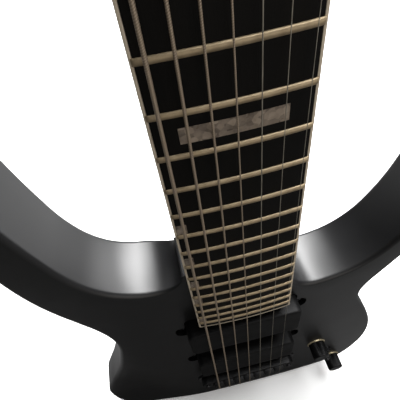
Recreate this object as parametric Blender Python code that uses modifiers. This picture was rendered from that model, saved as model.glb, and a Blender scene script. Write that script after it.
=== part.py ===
"""Seven-string electric guitar with a set-through neck, modelled in metres.

The guitar stands upright: +Z runs from the body to the headstock, the front
faces -Y and the treble side is +X. The origin is on the centre line at the
nut, on the plane where the fretboard is glued to the neck. A place along the
strings is given as a distance from the nut, so its height is minus that.
"""

import math

import bmesh
import bpy
from mathutils import Matrix, Vector
from mathutils.geometry import delaunay_2d_cdt

MM = 0.001

# Driving dimensions
SCALE_LENGTH = 0.6477
FRET_COUNT = 24
STRING_COUNT = 7
NUT_WIDTH = 0.049
LAST_FRET_WIDTH = 0.067
BOARD_THICK = 0.0064
BOARD_RADIUS = 0.355
BOARD_PAST_LAST_FRET = 0.0082
FRET_HEIGHT = 0.0011
FRET_WIDTH = 0.0026
BINDING_THICK = 0.0012
NUT_LENGTH = 0.005
NECK_RISE = 0.0055
BODY_THICK = 0.045
EDGE_RADIUS = 0.0035
HEEL_CARVE = 0.0155
HEEL_CARVE_SPREAD = 0.027
HEEL_CARVE_LENGTH = 0.060
STRING_SPAN_NUT = 0.039
STRING_SPAN_BRIDGE = 0.0642
STRING_GAUGES = [0.0015, 0.00117, 0.00091, 0.00066, 0.00043, 0.00033, 0.00025]
ACTION_NUT = 0.0005
NUT_FALL = 0.0004
ACTION_BRIDGE = 0.0048
HEAD_ANGLE = math.radians(11.0)
HEAD_THICK = 0.0145
HEAD_BLEND = 0.026
NECK_ROUND = 2.25
NECK_AT_HEAD = 7.0
ROD_WIDTH = 0.006
SNUG = 0.0001
GAP = 0.0003

# Planes square to the body, as Y values, and the ends of the fretboard
FACE_Y = NECK_RISE
BACK_Y = FACE_Y + BODY_THICK
FRET_TOP_Y = -(BOARD_THICK + FRET_HEIGHT)
LAST_FRET = SCALE_LENGTH * (1.0 - 2.0 ** (-FRET_COUNT / 12.0))
BOARD_END = LAST_FRET + BOARD_PAST_LAST_FRET

# Body outline in millimetres as (across, distance past the bridge line); it starts
# at the bass corner of the neck joint and runs round by way of the bass horn
BODY_OUTLINE = [
    (-34.5, -213), (-36.5, -207.5), (-42, -201.5), (-50, -198.5), (-61, -199.5), (-71, -203.5),
    (-80, -210), (-87.5, -219), (-94, -231), (-99.5, -247), (-103.5, -266), (-107, -287),
    (-110, -310), (-112.8, -330), (-114.3, -344), (-117, -350.7), (-122.3, -353), (-127.8, -350.7),
    (-130.6, -344), (-132, -320), (-131.5, -285), (-129.5, -257), (-126.5, -230), (-121, -207),
    (-113, -184), (-106, -164), (-102, -146), (-101, -130), (-103, -113), (-107, -97),
    (-112.5, -77), (-119, -55), (-126.5, -34), (-135, -13), (-144.5, 7), (-152.5, 25), (-156.5, 40),
    (-155.5, 54), (-149.5, 67), (-139, 77.5), (-124, 84.5), (-104, 88.5), (-78, 92), (-50, 94.5),
    (-20, 96), (15, 96.5), (50, 95), (76, 92), (98, 87.5), (112, 81), (121, 72.5), (128, 59.5),
    (133, 44), (136.8, 24), (137.2, 3), (134.8, -17), (129.8, -37), (122.8, -57), (115, -76.5),
    (107.8, -94), (104.3, -107), (104.8, -119), (108.2, -130), (113, -140.5), (119, -152.5),
    (127, -170), (134, -189), (139.5, -209), (143.3, -228), (145.3, -247), (144.6, -254.5),
    (142, -259.2), (137.8, -260.6), (133.6, -258.6), (131.6, -253.5), (127.3, -233), (121, -210.5),
    (113.8, -193), (105.5, -178.5), (95.5, -167.5), (83.5, -159.5), (70.5, -155.2), (58, -153.8),
    (49, -156.5), (42, -164), (38, -176), (36, -192), (34.5, -207), (34.2, -213), (20, -213),
    (-20, -213),
]
OUTLINE_STEPS = 2
SURFACE_GRID = 0.024

# Pickup and control sizes
PICKUP_LENGTH = 0.0889
PICKUP_WIDTH = 0.0381
BOARD_TO_PICKUP = 0.0130
PICKUP_TO_BRIDGE = 0.0520
BRIDGE_TO_ANCHORS = 0.0530
SADDLE_SET_BACK = 0.0023

# Places along the strings, as distances from the nut
BRIDGE_D = SCALE_LENGTH + SADDLE_SET_BACK
ANCHOR_D = BRIDGE_D + BRIDGE_TO_ANCHORS
HEEL_D = BRIDGE_D + BODY_OUTLINE[0][1] * MM
NECK_PICKUP_D = BOARD_END + BOARD_TO_PICKUP + PICKUP_WIDTH / 2
BRIDGE_PICKUP_D = BRIDGE_D - PICKUP_TO_BRIDGE

# Bridge bar and saddles; the strings lie straight over the saddles' whole travel
BAR_TOP_Y = -0.0090
BAR_FOOT_Y = -0.0018
TROUGH_FLOOR_Y = -0.0042
SADDLE_PITCH = STRING_SPAN_BRIDGE / (STRING_COUNT - 1)
SADDLE_LENGTH = 0.0050
SADDLE_CREST = 0.0009
TROUGH_LENGTH = 0.0114
STRING_BREAK_D = BRIDGE_D + (TROUGH_LENGTH - SADDLE_LENGTH) / 2 + SADDLE_CREST

# Control positions on the face, as (across, distance from nut), and the jack's centre
VOLUME_AT = (0.079, BRIDGE_D + 0.001)
TONE_AT = (0.1055, BRIDGE_D + 0.066)
SWITCH_AT = (0.092, BRIDGE_D + 0.033)
JACK_AT = (0.1369, 0.028, BRIDGE_D + 0.018)


def clear_scene():
    for item in list(bpy.data.objects):
        bpy.data.objects.remove(item, do_unlink=True)


clear_scene()
PARTS = bpy.data.collections.new("seven_string_guitar")
CUTTERS = bpy.data.collections.new("cutters")
bpy.context.scene.collection.children.link(PARTS)
bpy.context.scene.collection.children.link(CUTTERS)


# Materials

def paint(obj, colour, metallic=0.0, roughness=0.5):
    material = bpy.data.materials.new(obj.name + "_finish")
    material.use_nodes = True
    shader = material.node_tree.nodes["Principled BSDF"]
    shader.inputs["Base Color"].default_value = (*colour, 1.0)
    shader.inputs["Metallic"].default_value = metallic
    shader.inputs["Roughness"].default_value = roughness
    obj.data.materials.clear()
    obj.data.materials.append(material)


SATIN_BLACK = dict(colour=(0.012, 0.012, 0.013), roughness=0.38)
EBONY = dict(colour=(0.014, 0.012, 0.011), roughness=0.5)
CREAM = dict(colour=(0.62, 0.56, 0.42), roughness=0.45)
PEARL = dict(colour=(0.42, 0.40, 0.36), roughness=0.3)
BLACK_NICKEL = dict(colour=(0.05, 0.05, 0.055), metallic=1.0, roughness=0.28)
STEEL = dict(colour=(0.55, 0.54, 0.52), metallic=1.0, roughness=0.3)
WOUND = dict(colour=(0.45, 0.41, 0.36), metallic=1.0, roughness=0.35)
PLASTIC = dict(colour=(0.02, 0.02, 0.022), roughness=0.45)
NUT_BLACK = dict(colour=(0.03, 0.03, 0.03), roughness=0.4)
BATTERY_CASE = dict(colour=(0.12, 0.12, 0.13), metallic=0.6, roughness=0.4)


# Making and joining objects

def add(name, mesh, cutter=False):
    obj = bpy.data.objects.new(name, mesh)
    if cutter:
        CUTTERS.objects.link(obj)
        obj.hide_render = True
        obj.display_type = "WIRE"
    else:
        PARTS.objects.link(obj)
    return obj


def from_bmesh(name, bm, cutter=False):
    bmesh.ops.recalc_face_normals(bm, faces=bm.faces)
    mesh = bpy.data.meshes.new(name)
    bm.to_mesh(mesh)
    bm.free()
    return add(name, mesh, cutter)


def shade_round(obj, angle=0.6):
    for face in obj.data.polygons:
        face.use_smooth = True
    for edge in obj.data.edges:
        edge.use_edge_sharp = False
    bm = bmesh.new()
    bm.from_mesh(obj.data)
    for edge in bm.edges:
        if len(edge.link_faces) == 2 and edge.calc_face_angle() > angle:
            edge.smooth = False
    bm.to_mesh(obj.data)
    bm.free()


def block(name, size, centre, cutter=False, bevel=0.0):
    bm = bmesh.new()
    bmesh.ops.create_cube(bm, size=1.0)
    bmesh.ops.scale(bm, verts=bm.verts, vec=size)
    obj = from_bmesh(name, bm, cutter)
    obj.location = centre
    if bevel:
        soften(obj, bevel)
    return obj


def soften(obj, width, segments=2):
    bevel = obj.modifiers.new("soft_edges", "BEVEL")
    bevel.width = width
    bevel.segments = segments
    bevel.limit_method = "ANGLE"


def lathe(name, profile, location, axis="-Y", steps=20, cutter=False):
    """Turn a list of (radius, height) about an axis; heights run along it."""
    bm = bmesh.new()
    points = [bm.verts.new((r, 0.0, h)) for r, h in profile]
    for a, b in zip(points, points[1:]):
        bm.edges.new((a, b))
    closed = profile[0][0] > 0.0
    if closed:
        bm.edges.new((points[-1], points[0]))
    bmesh.ops.spin(bm, geom=bm.verts[:] + bm.edges[:], cent=(0, 0, 0), axis=(0, 0, 1),
                   angle=math.tau, steps=steps, use_merge=True, use_duplicate=False)
    bmesh.ops.remove_doubles(bm, verts=bm.verts, dist=1e-6)
    obj = from_bmesh(name, bm, cutter)
    turns = {"-Y": Matrix.Rotation(math.pi / 2, 4, "X"),
             "+Y": Matrix.Rotation(-math.pi / 2, 4, "X"),
             "+X": Matrix.Rotation(math.pi / 2, 4, "Y"),
             "-X": Matrix.Rotation(-math.pi / 2, 4, "Y"),
             "+Z": Matrix.Identity(4)}
    obj.data.transform(turns[axis])
    obj.location = location
    shade_round(obj)
    return obj


def rod(name, radius, low, high, location, axis="-Y", steps=20, cutter=False):
    profile = [(0.0, high), (radius, high), (radius, low), (0.0, low)]
    return lathe(name, profile, location, axis, steps, cutter)


def plate(name, outline, thick, matrix, cutter=False, edge=0.0):
    """A flat plate from a closed list of (x, y), thick about its own z = 0."""
    curve = bpy.data.curves.new(name, "CURVE")
    curve.dimensions = "2D"
    curve.fill_mode = "BOTH"
    curve.extrude = thick / 2.0 - edge
    curve.bevel_depth = edge
    curve.bevel_resolution = 1
    curve.offset = -edge
    spline = curve.splines.new("POLY")
    spline.points.add(len(outline) - 1)
    for point, (x, y) in zip(spline.points, outline):
        point.co = (x, y, 0.0, 1.0)
    spline.use_cyclic_u = True
    guide = bpy.data.objects.new(name + "_curve", curve)
    CUTTERS.objects.link(guide)
    bpy.context.view_layer.update()
    seen = guide.evaluated_get(bpy.context.evaluated_depsgraph_get())
    mesh = bpy.data.meshes.new_from_object(seen)
    bpy.data.objects.remove(guide, do_unlink=True)
    bm = bmesh.new()
    bm.from_mesh(mesh)
    bmesh.ops.remove_doubles(bm, verts=bm.verts, dist=1e-6)
    bmesh.ops.dissolve_degenerate(bm, edges=bm.edges, dist=1e-6)
    obj = from_bmesh(name, bm, cutter)
    obj.matrix_world = matrix
    return obj


def loft(name, rings, cutter=False):
    """A closed skin through rings that all have the same number of points."""
    bm = bmesh.new()
    made = [[bm.verts.new(p) for p in ring] for ring in rings]
    count = len(rings[0])
    for low, high in zip(made, made[1:]):
        for i in range(count):
            j = (i + 1) % count
            bm.faces.new((low[i], low[j], high[j], high[i]))
    bm.faces.new(made[0])
    bm.faces.new(reversed(made[-1]))
    return from_bmesh(name, bm, cutter)


def combine(obj, other, operation):
    step = obj.modifiers.new(operation.lower(), "BOOLEAN")
    step.operation = operation
    step.solver = "EXACT"
    step.object = other


def cut(obj, *cutters):
    for item in cutters:
        combine(obj, item, "DIFFERENCE")


def join(obj, *pieces):
    for item in pieces:
        combine(obj, item, "UNION")


def wire(name, points, radius):
    curve = bpy.data.curves.new(name, "CURVE")
    curve.dimensions = "3D"
    curve.bevel_depth = radius
    curve.bevel_resolution = 1
    curve.use_fill_caps = True
    spline = curve.splines.new("POLY")
    spline.points.add(len(points) - 1)
    for point, place in zip(spline.points, points):
        point.co = (*place, 1.0)
    obj = bpy.data.objects.new(name, curve)
    PARTS.objects.link(obj)
    return obj


# Shapes of the neck and strings

def board_half_width(distance):
    growth = (LAST_FRET_WIDTH - NUT_WIDTH) / LAST_FRET
    return (NUT_WIDTH + growth * distance) / 2.0


def crown(x, half_width):
    """Height of the arched playing surface at x over its own edges."""
    return (half_width ** 2 - x ** 2) / (2.0 * BOARD_RADIUS)


def fret_distance(number):
    return SCALE_LENGTH * (1.0 - 2.0 ** (-number / 12.0))


def smooth(value, low, high):
    t = min(1.0, max(0.0, (value - low) / (high - low)))
    return t * t * (3.0 - 2.0 * t)


def string_x(index, span):
    return span * (index / (STRING_COUNT - 1) - 0.5)


def string_at_nut(index):
    x = string_x(index, STRING_SPAN_NUT)
    rise = crown(x, NUT_WIDTH / 2) + ACTION_NUT + STRING_GAUGES[index] / 2
    return Vector((x, FRET_TOP_Y - rise, 0.0))


def string_at_bridge(index):
    x = string_x(index, STRING_SPAN_BRIDGE)
    arch = crown(x, STRING_SPAN_BRIDGE / 2)
    rise = arch + ACTION_BRIDGE + STRING_GAUGES[index] / 2
    return Vector((x, FRET_TOP_Y - rise, -saddle_distance(index)))


def saddle_distance(index):
    return SCALE_LENGTH + 0.0004 + 0.0016 * STRING_GAUGES[index] / STRING_GAUGES[0] * 2.0


# Body

def catmull_rom(points, steps):
    made = []
    count = len(points)
    for i in range(count):
        p0, p1, p2, p3 = (Vector(points[(i + k) % count]) for k in (-1, 0, 1, 2))
        for s in range(steps):
            t = s / steps
            made.append(0.5 * (2 * p1 + (p2 - p0) * t + (2 * p0 - 5 * p1 + 4 * p2 - p3) * t * t
                               + (3 * p1 - p0 - 3 * p2 + p3) * t ** 3))
    return made


def forearm_depth(x, distance):
    """How far the face is carved away on the bass side of the lower bout."""
    start = Vector((-0.096, BRIDGE_D - 0.105))
    end = Vector((-0.050, BRIDGE_D + 0.092))
    along = (end - start).normalized()
    outward = Vector((-along.y, along.x))
    reach = (Vector((x, distance)) - start).dot(outward)
    fade = 1.0 - 0.75 * smooth(distance - BRIDGE_D, 0.040, 0.095)
    return 0.0135 * smooth(reach, -0.004, 0.066) * fade


def belly_depth(x, distance):
    """How far the back is carved away at the bass side of the waist."""
    across = smooth(-x, 0.045, 0.115)
    past = distance - BRIDGE_D
    along = smooth(past, -0.195, -0.135) * (1.0 - smooth(past, -0.105, -0.040))
    return 0.011 * across * along


def heel_depth(x, distance):
    """How far the back is carved away where the neck joins; it eases off past the neck's sides."""
    beside = min(max(abs(x) - 0.034, 0.0) / HEEL_CARVE_SPREAD, 1.0)
    along = 1.0 - smooth(distance, HEEL_D, HEEL_D + HEEL_CARVE_LENGTH)
    return HEEL_CARVE * (1.0 - beside) ** 2 * along


def front_y(x, distance):
    return FACE_Y + forearm_depth(x, distance)


def back_y(x, distance):
    return BACK_Y - belly_depth(x, distance) - heel_depth(x, distance)


def edge_radius(x, distance):
    """The edge is rounded all round, but square where the neck butts on."""
    beside_neck = smooth(max(abs(x) - 0.032, distance - HEEL_D), 0.002, 0.012)
    return 0.0004 + (EDGE_RADIUS - 0.0004) * beside_neck


def inset_ring(outline, amounts):
    made = []
    count = len(outline)
    for i, point in enumerate(outline):
        run = outline[(i + 1) % count] - outline[i - 1]
        inward = Vector((run.y, -run.x)).normalized()
        made.append(point + inward * amounts[i])
    return made


def bend_radius(outline, i):
    """Radius of the outline where it turns inward; large on a straight run."""
    before = outline[i] - outline[i - 1]
    after = outline[(i + 1) % len(outline)] - outline[i]
    turn = -before.angle_signed(after, 0.0)
    length = (before.length + after.length) / 2.0
    return length / abs(turn) if abs(turn) > 0.01 else 1.0


def signed_area(points):
    return 0.5 * sum(a.x * b.y - b.x * a.y for a, b in zip(points, points[1:] + points[:1]))


def inside(point, outline):
    hit = False
    for a, b in zip(outline, outline[1:] + outline[:1]):
        if (a.y > point.y) != (b.y > point.y):
            if point.x < a.x + (point.y - a.y) / (b.y - a.y) * (b.x - a.x):
                hit = not hit
    return hit


def nearest(point, outline):
    return min((point - other).length for other in outline)


def surface_points(ring, pitch):
    xs = [p.x for p in ring]
    ys = [p.y for p in ring]
    made = []
    for i in range(int((max(xs) - min(xs)) / pitch) + 1):
        for j in range(int((max(ys) - min(ys)) / pitch) + 1):
            shift = 0.5 * pitch if i % 2 else 0.0
            point = Vector((min(xs) + i * pitch, min(ys) + j * pitch + shift))
            if inside(point, ring) and nearest(point, ring) > 0.45 * pitch:
                made.append(point)
    return made


def carved_slab(name, outline, pitch, round_steps):
    """The body blank: two carved faces, a side wall and rounded edges."""
    if signed_area(outline) > 0.0:
        outline = outline[::-1]
    radii = [min(edge_radius(p.x, p.y), 0.65 * bend_radius(outline, i)) for i, p in enumerate(outline)]
    count = len(radii)
    radii = [min(radii[i - 1], radii[i], radii[(i + 1) % count]) for i in range(count)]
    bm = bmesh.new()
    rings = []
    for surface, side in ((front_y, 1.0), (back_y, -1.0)):
        stack = []
        for k in range(round_steps + 1):
            angle = math.pi / 2 * k / round_steps
            flat = inset_ring(outline, [r * (1.0 - math.cos(angle)) for r in radii])
            ring = []
            for point, r in zip(flat, radii):
                y = surface(point.x, point.y) + side * r * (1.0 - math.sin(angle))
                ring.append(bm.verts.new((point.x, y, -point.y)))
            stack.append(ring)
        rings.append((stack, flat, surface))
    front = rings[0][0]
    back = rings[1][0]
    bands = list(zip(front, front[1:])) + list(zip(back, back[1:])) + [(front[0], back[0])]
    for one, two in bands:
        for i in range(count):
            j = (i + 1) % count
            bm.faces.new((one[i], one[j], two[j], two[i]))
    for stack, flat, surface in rings:
        extra = surface_points(flat, pitch)
        edges = [(i, (i + 1) % count) for i in range(count)]
        cells = delaunay_2d_cdt(flat + extra, edges, [], 1, 1e-7)
        corners = list(stack[-1])
        for point in cells[0][count:]:
            corners.append(bm.verts.new((point.x, surface(point.x, point.y), -point.y)))
        for face in cells[2]:
            bm.faces.new([corners[i] for i in face])
    return from_bmesh(name, bm)


def upright(y):
    """Matrix that lays a plate drawn as (across, distance) at depth y."""
    turn = Matrix(((1, 0, 0, 0), (0, 0, 1, y), (0, -1, 0, 0), (0, 0, 0, 1)))
    return turn


def rounded_box_outline(cx, cd, width, length, radius, steps=4):
    made = []
    for corner in range(4):
        sx = (1, -1, -1, 1)[corner]
        sd = (1, 1, -1, -1)[corner]
        for k in range(steps + 1):
            angle = math.pi / 2 * (corner + k / steps)
            made.append((cx + sx * (width / 2 - radius) + radius * math.cos(angle),
                         cd + sd * (length / 2 - radius) + radius * math.sin(angle)))
    return made


def grow_outline(points, amount):
    ring = [Vector(p) for p in points]
    if signed_area(ring) > 0.0:
        ring = ring[::-1]
    return [tuple(p) for p in inset_ring(ring, [-amount] * len(ring))]


CAVITY_POINTS = [
    (37, 59), (36, 35), (38, 9), (52, -2), (66, -10), (80, -12), (93, -7), (105, 6), (113, 25),
    (115, 46), (114, 65), (108, 74), (98, 74), (88, 65), (70, 63), (50, 63),
]
CAVITY_OUTLINE = [tuple(p) for p in catmull_rom(
    [(x * MM, BRIDGE_D + d * MM) for x, d in CAVITY_POINTS], 2)]
CAVITY_FLOOR_Y = FACE_Y + 0.008
COVER_THICK = 0.0023
COVER_LIP = 0.0032
PICKUP_TOP_Y = -0.0085
PICKUP_FOOT_Y = 0.0155
EAR_SPAN = 0.106
EAR_WIDTH = 0.014
ROUT_DEPTH = 0.019
ROUT_CLEAR = 0.0012
SLOT_FLOOR_Y = 0.022
POST_HALF_SPAN = 0.0432


def pickup_outlines(distance, extra):
    cover = rounded_box_outline(0, distance, PICKUP_LENGTH + 2 * extra,
                                PICKUP_WIDTH + 2 * extra, 0.005 + extra)
    ears = rounded_box_outline(0, distance, EAR_SPAN + 2 * extra,
                               EAR_WIDTH + 2 * extra, 0.0055 + extra)
    return cover, ears


def cut_pickup_rout(body, label, distance):
    cover, ears = pickup_outlines(distance, ROUT_CLEAR)
    depth = ROUT_DEPTH + 0.004
    middle = upright(FACE_Y + ROUT_DEPTH - depth / 2)
    cut(body, plate(label + "_rout", cover, depth, middle, cutter=True),
        plate(label + "_ear_rout", ears, depth - 0.0005, middle, cutter=True))


def make_body():
    outline = catmull_rom([(x * MM, BRIDGE_D + d * MM) for x, d in BODY_OUTLINE], OUTLINE_STEPS)
    for point in outline:
        if abs(point.x) < 0.036:
            point.y = max(point.y, HEEL_D)
    body = carved_slab("body", outline, SURFACE_GRID, 2)
    slot = []
    for distance in (HEEL_D - 0.006, BOARD_END + GAP):
        half = board_half_width(distance) + SNUG
        slot.append([(-half, -0.010, -distance), (half, -0.010, -distance),
                     (half, SLOT_FLOOR_Y + SNUG, -distance), (-half, SLOT_FLOOR_Y + SNUG, -distance)])
    cut(body, loft("neck_slot", slot, cutter=True))
    cut_pickup_rout(body, "neck_pickup", NECK_PICKUP_D)
    cut_pickup_rout(body, "bridge_pickup", BRIDGE_PICKUP_D)
    cover = grow_outline(CAVITY_OUTLINE, COVER_LIP + GAP)
    cavity_depth = BACK_Y - CAVITY_FLOOR_Y + 0.004
    cut(body,
        plate("control_cavity", CAVITY_OUTLINE, cavity_depth,
              upright(CAVITY_FLOOR_Y + cavity_depth / 2), cutter=True),
        plate("cover_recess", cover, 0.008, upright(BACK_Y - COVER_THICK + 0.004), cutter=True))
    for label, (x, d), radius in (("volume_hole", VOLUME_AT, 0.0040), ("tone_hole", TONE_AT, 0.0040),
                                  ("switch_hole", SWITCH_AT, 0.0062)):
        cut(body, rod(label, radius, -0.016, 0.006, (x, FACE_Y, -d), steps=16, cutter=True))
    x, y, d = JACK_AT
    cut(body, lathe("jack_hole", [(0.0, 0.006), (0.0100, 0.006), (0.0100, -0.0024), (0.0062, -0.0024),
                                  (0.0062, -0.040), (0.0, -0.040)], (x, y, -d), "+X", 18, cutter=True))
    for sign, label in ((-1, "bass"), (1, "treble")):
        hole_at = (sign * POST_HALF_SPAN, FACE_Y, -BRIDGE_D)
        cut(body, rod(label + "_post_hole", 0.0042, -0.026, 0.004, hole_at, steps=16, cutter=True))
    for i in range(STRING_COUNT):
        x = string_x(i, STRING_SPAN_BRIDGE)
        top = (x, FACE_Y, -ANCHOR_D)
        shoulder = -BODY_THICK + 0.009
        cut(body, lathe(f"string_hole_{i}", [
            (0.0, 0.003), (0.0015, 0.003), (0.0015, shoulder), (0.0040, shoulder),
            (0.0040, -BODY_THICK - 0.003), (0.0, -BODY_THICK - 0.003)], top, steps=10, cutter=True))
    paint(body, **SATIN_BLACK)
    shade_round(body, 0.7)
    return body


# Neck, fretboard and headstock

def neck_depth(distance):
    plain = 0.0148 + 0.0014 * distance / 0.38
    at_heel = BACK_Y - HEEL_CARVE - 0.0005
    return plain + (at_heel - plain) * smooth(distance, HEEL_D - 0.049, HEEL_D + 0.004) ** 1.2


def neck_section(half, deep, squareness, distance, top=0.0, points=12):
    """Half-round section, flat on top; a higher squareness fills its corners."""
    lip = 0.0012
    ring = []
    for k in range(points + 1):
        angle = math.pi * k / points
        c = math.cos(angle)
        s = math.sin(angle)
        x = -math.copysign(abs(c) ** (2.0 / squareness), c) * half
        ring.append((x, top + lip + s ** (2.0 / squareness) * (deep - top - lip), -distance))
    return [(-half, top, -distance)] + ring + [(half, top, -distance)]


def neck_ring(distance):
    """Half-round along its run; it squares up towards the heel and towards the headstock."""
    squareness = NECK_ROUND + 1.6 * smooth(distance, HEEL_D - 0.037, HEEL_D)
    squareness += (NECK_AT_HEAD - NECK_ROUND) * (1.0 - smooth(distance, 0.0, HEAD_BLEND))
    return neck_section(board_half_width(max(distance, 0.0)), neck_depth(max(distance, 0.0)),
                        squareness, distance)


def head_matrix():
    """Headstock frame: x across, y along it away from the nut, z out of its face."""
    c = math.cos(HEAD_ANGLE)
    s = math.sin(HEAD_ANGLE)
    return Matrix(((1, 0, 0, 0), (0, s, -c, 0), (0, c, s, NUT_LENGTH), (0, 0, 0, 1)))


HEAD = head_matrix()
HEAD_SIDE = [(24.2, 0.5), (25, 8), (28, 20), (34, 32), (38, 46), (40, 70), (41.5, 110), (42.5, 150),
             (41, 163), (35, 171), (24, 174.5), (12, 173.5)]
INLAY_HALF_WIDTH = 0.0200
INLAY_LENGTH = 0.0073
INLAY_TO_FRET = 0.0056
POST_X = 0.0275
POST_RADIUS = 0.003
SLEEVE_RADIUS = 0.0044
BASS_POSTS = [0.042, 0.076, 0.110, 0.144]
TREBLE_POSTS = [0.050, 0.086, 0.122]
WORM_OFFSET = 0.0072
TUNER_DEPTH = 0.0105


def post_place(index):
    """(side, distance along the headstock) of the tuner for a string."""
    if index < len(BASS_POSTS):
        return -1, BASS_POSTS[index]
    return 1, TREBLE_POSTS[STRING_COUNT - 1 - index]


def make_neck():
    tucked = neck_section(NUT_WIDTH * 0.485, neck_depth(0.0) - 0.0006, NECK_AT_HEAD,
                          -NUT_LENGTH - 0.004, 0.0014)
    stations = [-NUT_LENGTH, 0.0] + [HEEL_D * part for part in (0.07, 0.23, 0.46, 0.69)]
    stations += [HEEL_D - before for before in (0.052, 0.037, 0.027, 0.017, 0.008, GAP)]
    rings = [tucked] + [neck_ring(d) for d in stations]
    for distance in (HEEL_D, BOARD_END):
        rings.append(neck_section(board_half_width(distance), SLOT_FLOOR_Y, 9.0, distance))
    neck = loft("neck", rings)
    outline = [(x * MM, h * MM) for x, h in HEAD_SIDE]
    outline += [(-x, h) for x, h in reversed(outline)]
    head = plate("headstock_blank", outline, HEAD_THICK,
                 HEAD @ Matrix.Translation((0, 0, -HEAD_THICK / 2)), cutter=True)
    join(neck, head)
    channel = HEEL_D + 0.015
    rod_slot = block("rod_channel", (ROD_WIDTH + 4 * SNUG, 0.022, channel),
                     (0, 0, NUT_LENGTH + 0.014 - channel / 2), cutter=True)
    cut(neck, rod_slot)
    for i in range(STRING_COUNT):
        side, h = post_place(i)
        hole = rod(f"tuner_hole_{i}", SLEEVE_RADIUS + SNUG, -HEAD_THICK - 0.003, 0.003,
                   (0, 0, 0), "+Z", 14, cutter=True)
        hole.matrix_world = HEAD @ Matrix.Translation((side * POST_X, h, 0))
        cut(neck, hole)
    paint(neck, **SATIN_BLACK)
    shade_round(neck, 0.7)


def board_ring(distance, height, points=6):
    half = board_half_width(distance) - BINDING_THICK - SNUG
    ring = [(half, -SNUG, -distance), (-half, -SNUG, -distance)]
    for k in range(points + 1):
        x = half * (2.0 * k / points - 1.0)
        y = -BOARD_THICK - crown(x, board_half_width(distance)) - height
        ring.append((x, y, -distance))
    return ring


def make_board():
    rings = [board_ring(0.0, 0.0)]
    for number in range(1, FRET_COUNT + 1):
        middle = fret_distance(number)
        for offset, height in ((-0.5, 0.0), (-0.25, 1.0), (0.25, 1.0), (0.5, 0.0)):
            rings.append(board_ring(middle + offset * FRET_WIDTH, height * FRET_HEIGHT))
    rings.append(board_ring(BOARD_END - BINDING_THICK - SNUG, 0.0))
    board = loft("fretboard", rings)
    cut(board, loft("inlay_pocket", inlay_rings(SNUG, 0.001), cutter=True))
    paint(board, **EBONY)


def inlay_rings(margin, above):
    """Pearl block that lies just before the twelfth fret."""
    half = INLAY_HALF_WIDTH + margin
    rings = []
    end = fret_distance(12) - INLAY_TO_FRET
    for distance in (end - INLAY_LENGTH - margin, end + margin):
        ring = [(half, -BOARD_THICK + 0.0012 + margin, -distance),
                (-half, -BOARD_THICK + 0.0012 + margin, -distance)]
        for k in range(9):
            x = half * (2.0 * k / 8 - 1.0)
            y = -BOARD_THICK - crown(x, board_half_width(distance)) - above
            ring.append((x, y, -distance))
        rings.append(ring)
    return rings


def make_board_trim():
    paint(loft("twelfth_fret_inlay", inlay_rings(0.0, 0.0)), **PEARL)
    end_half = board_half_width(BOARD_END)
    nut_half = NUT_WIDTH / 2
    t = BINDING_THICK
    outline = [(-nut_half, 0), (-end_half, BOARD_END), (end_half, BOARD_END), (nut_half, 0),
               (nut_half - t, 0), (end_half - t, BOARD_END - t), (-end_half + t, BOARD_END - t),
               (-nut_half + t, 0)]
    thick = BOARD_THICK - SNUG
    paint(plate("board_binding", outline, thick, upright(-SNUG - thick / 2)), **CREAM)
    paint(make_nut(), **NUT_BLACK)
    rod_length = HEEL_D - 0.017
    bar = block("truss_rod", (ROD_WIDTH, 0.0092, rod_length), (0, 0.0058, -0.004 - rod_length / 2),
                bevel=0.0006)
    paint(bar, **STEEL)


def make_nut():
    rings = []
    for z in (GAP, NUT_LENGTH - SNUG):
        ring = [(NUT_WIDTH / 2, -SNUG, z), (-NUT_WIDTH / 2, -SNUG, z)]
        drop = 0.0008 if z > GAP else 0.0
        for k in range(9):
            x = NUT_WIDTH * (k / 8 - 0.5)
            ring.append((x, FRET_TOP_Y - crown(x, NUT_WIDTH / 2) - 0.0012 + drop, z))
        rings.append(ring)
    nut = loft("nut", rings)
    for i in range(STRING_COUNT):
        at = string_at_nut(i)
        wide = STRING_GAUGES[i] + 2 * SNUG
        deep = 0.006
        slot = block(f"nut_slot_{i}", (wide, deep, 3 * NUT_LENGTH),
                     (at.x, at.y + (wide + NUT_FALL - deep) / 2 + SNUG, NUT_LENGTH / 2), cutter=True)
        slot.rotation_euler = (-math.atan(NUT_FALL / NUT_LENGTH), 0, 0)
        cut(nut, slot)
    return nut


def make_truss_rod_cover():
    outline = [(x * MM, h * MM) for x, h in ((-10, 2), (10, 2), (9.4, 20), (6.2, 33), (2.2, 41),
                                             (-2.2, 41), (-6.2, 33), (-9.4, 20))]
    cover = plate("truss_rod_cover", outline, 0.0020, HEAD @ Matrix.Translation((0, 0, 0.0010 + SNUG)))
    paint(cover, **PLASTIC)
    soften(cover, 0.0005, 1)


# Strings

def head_point(x, along, out):
    return HEAD @ Vector((x, along, out))


def wound_end(index, start):
    """Points from the nut to the post and round it, in the headstock frame."""
    side, h = post_place(index)
    steps = 12
    sweep = 1.25 * math.tau
    radius = (POST_RADIUS + STRING_GAUGES[index] / 2 + SNUG) / math.cos(sweep / steps / 2)
    local = HEAD.inverted() @ start
    post = Vector((side * POST_X, h))
    gap = Vector((local.x, local.y)) - post
    lean = math.acos(radius / gap.length)
    facing = math.atan2(gap.y, gap.x)
    begin = facing + (lean if side < 0 else -lean)
    turns = -side
    out_start = 0.0085
    points = []
    for k in range(steps + 1):
        angle = begin + turns * sweep * k / steps
        out = out_start - 1.25 * k / steps * (STRING_GAUGES[index] + 2 * GAP)
        points.append(head_point(post.x + radius * math.cos(angle), post.y + radius * math.sin(angle), out))
    return points


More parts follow.
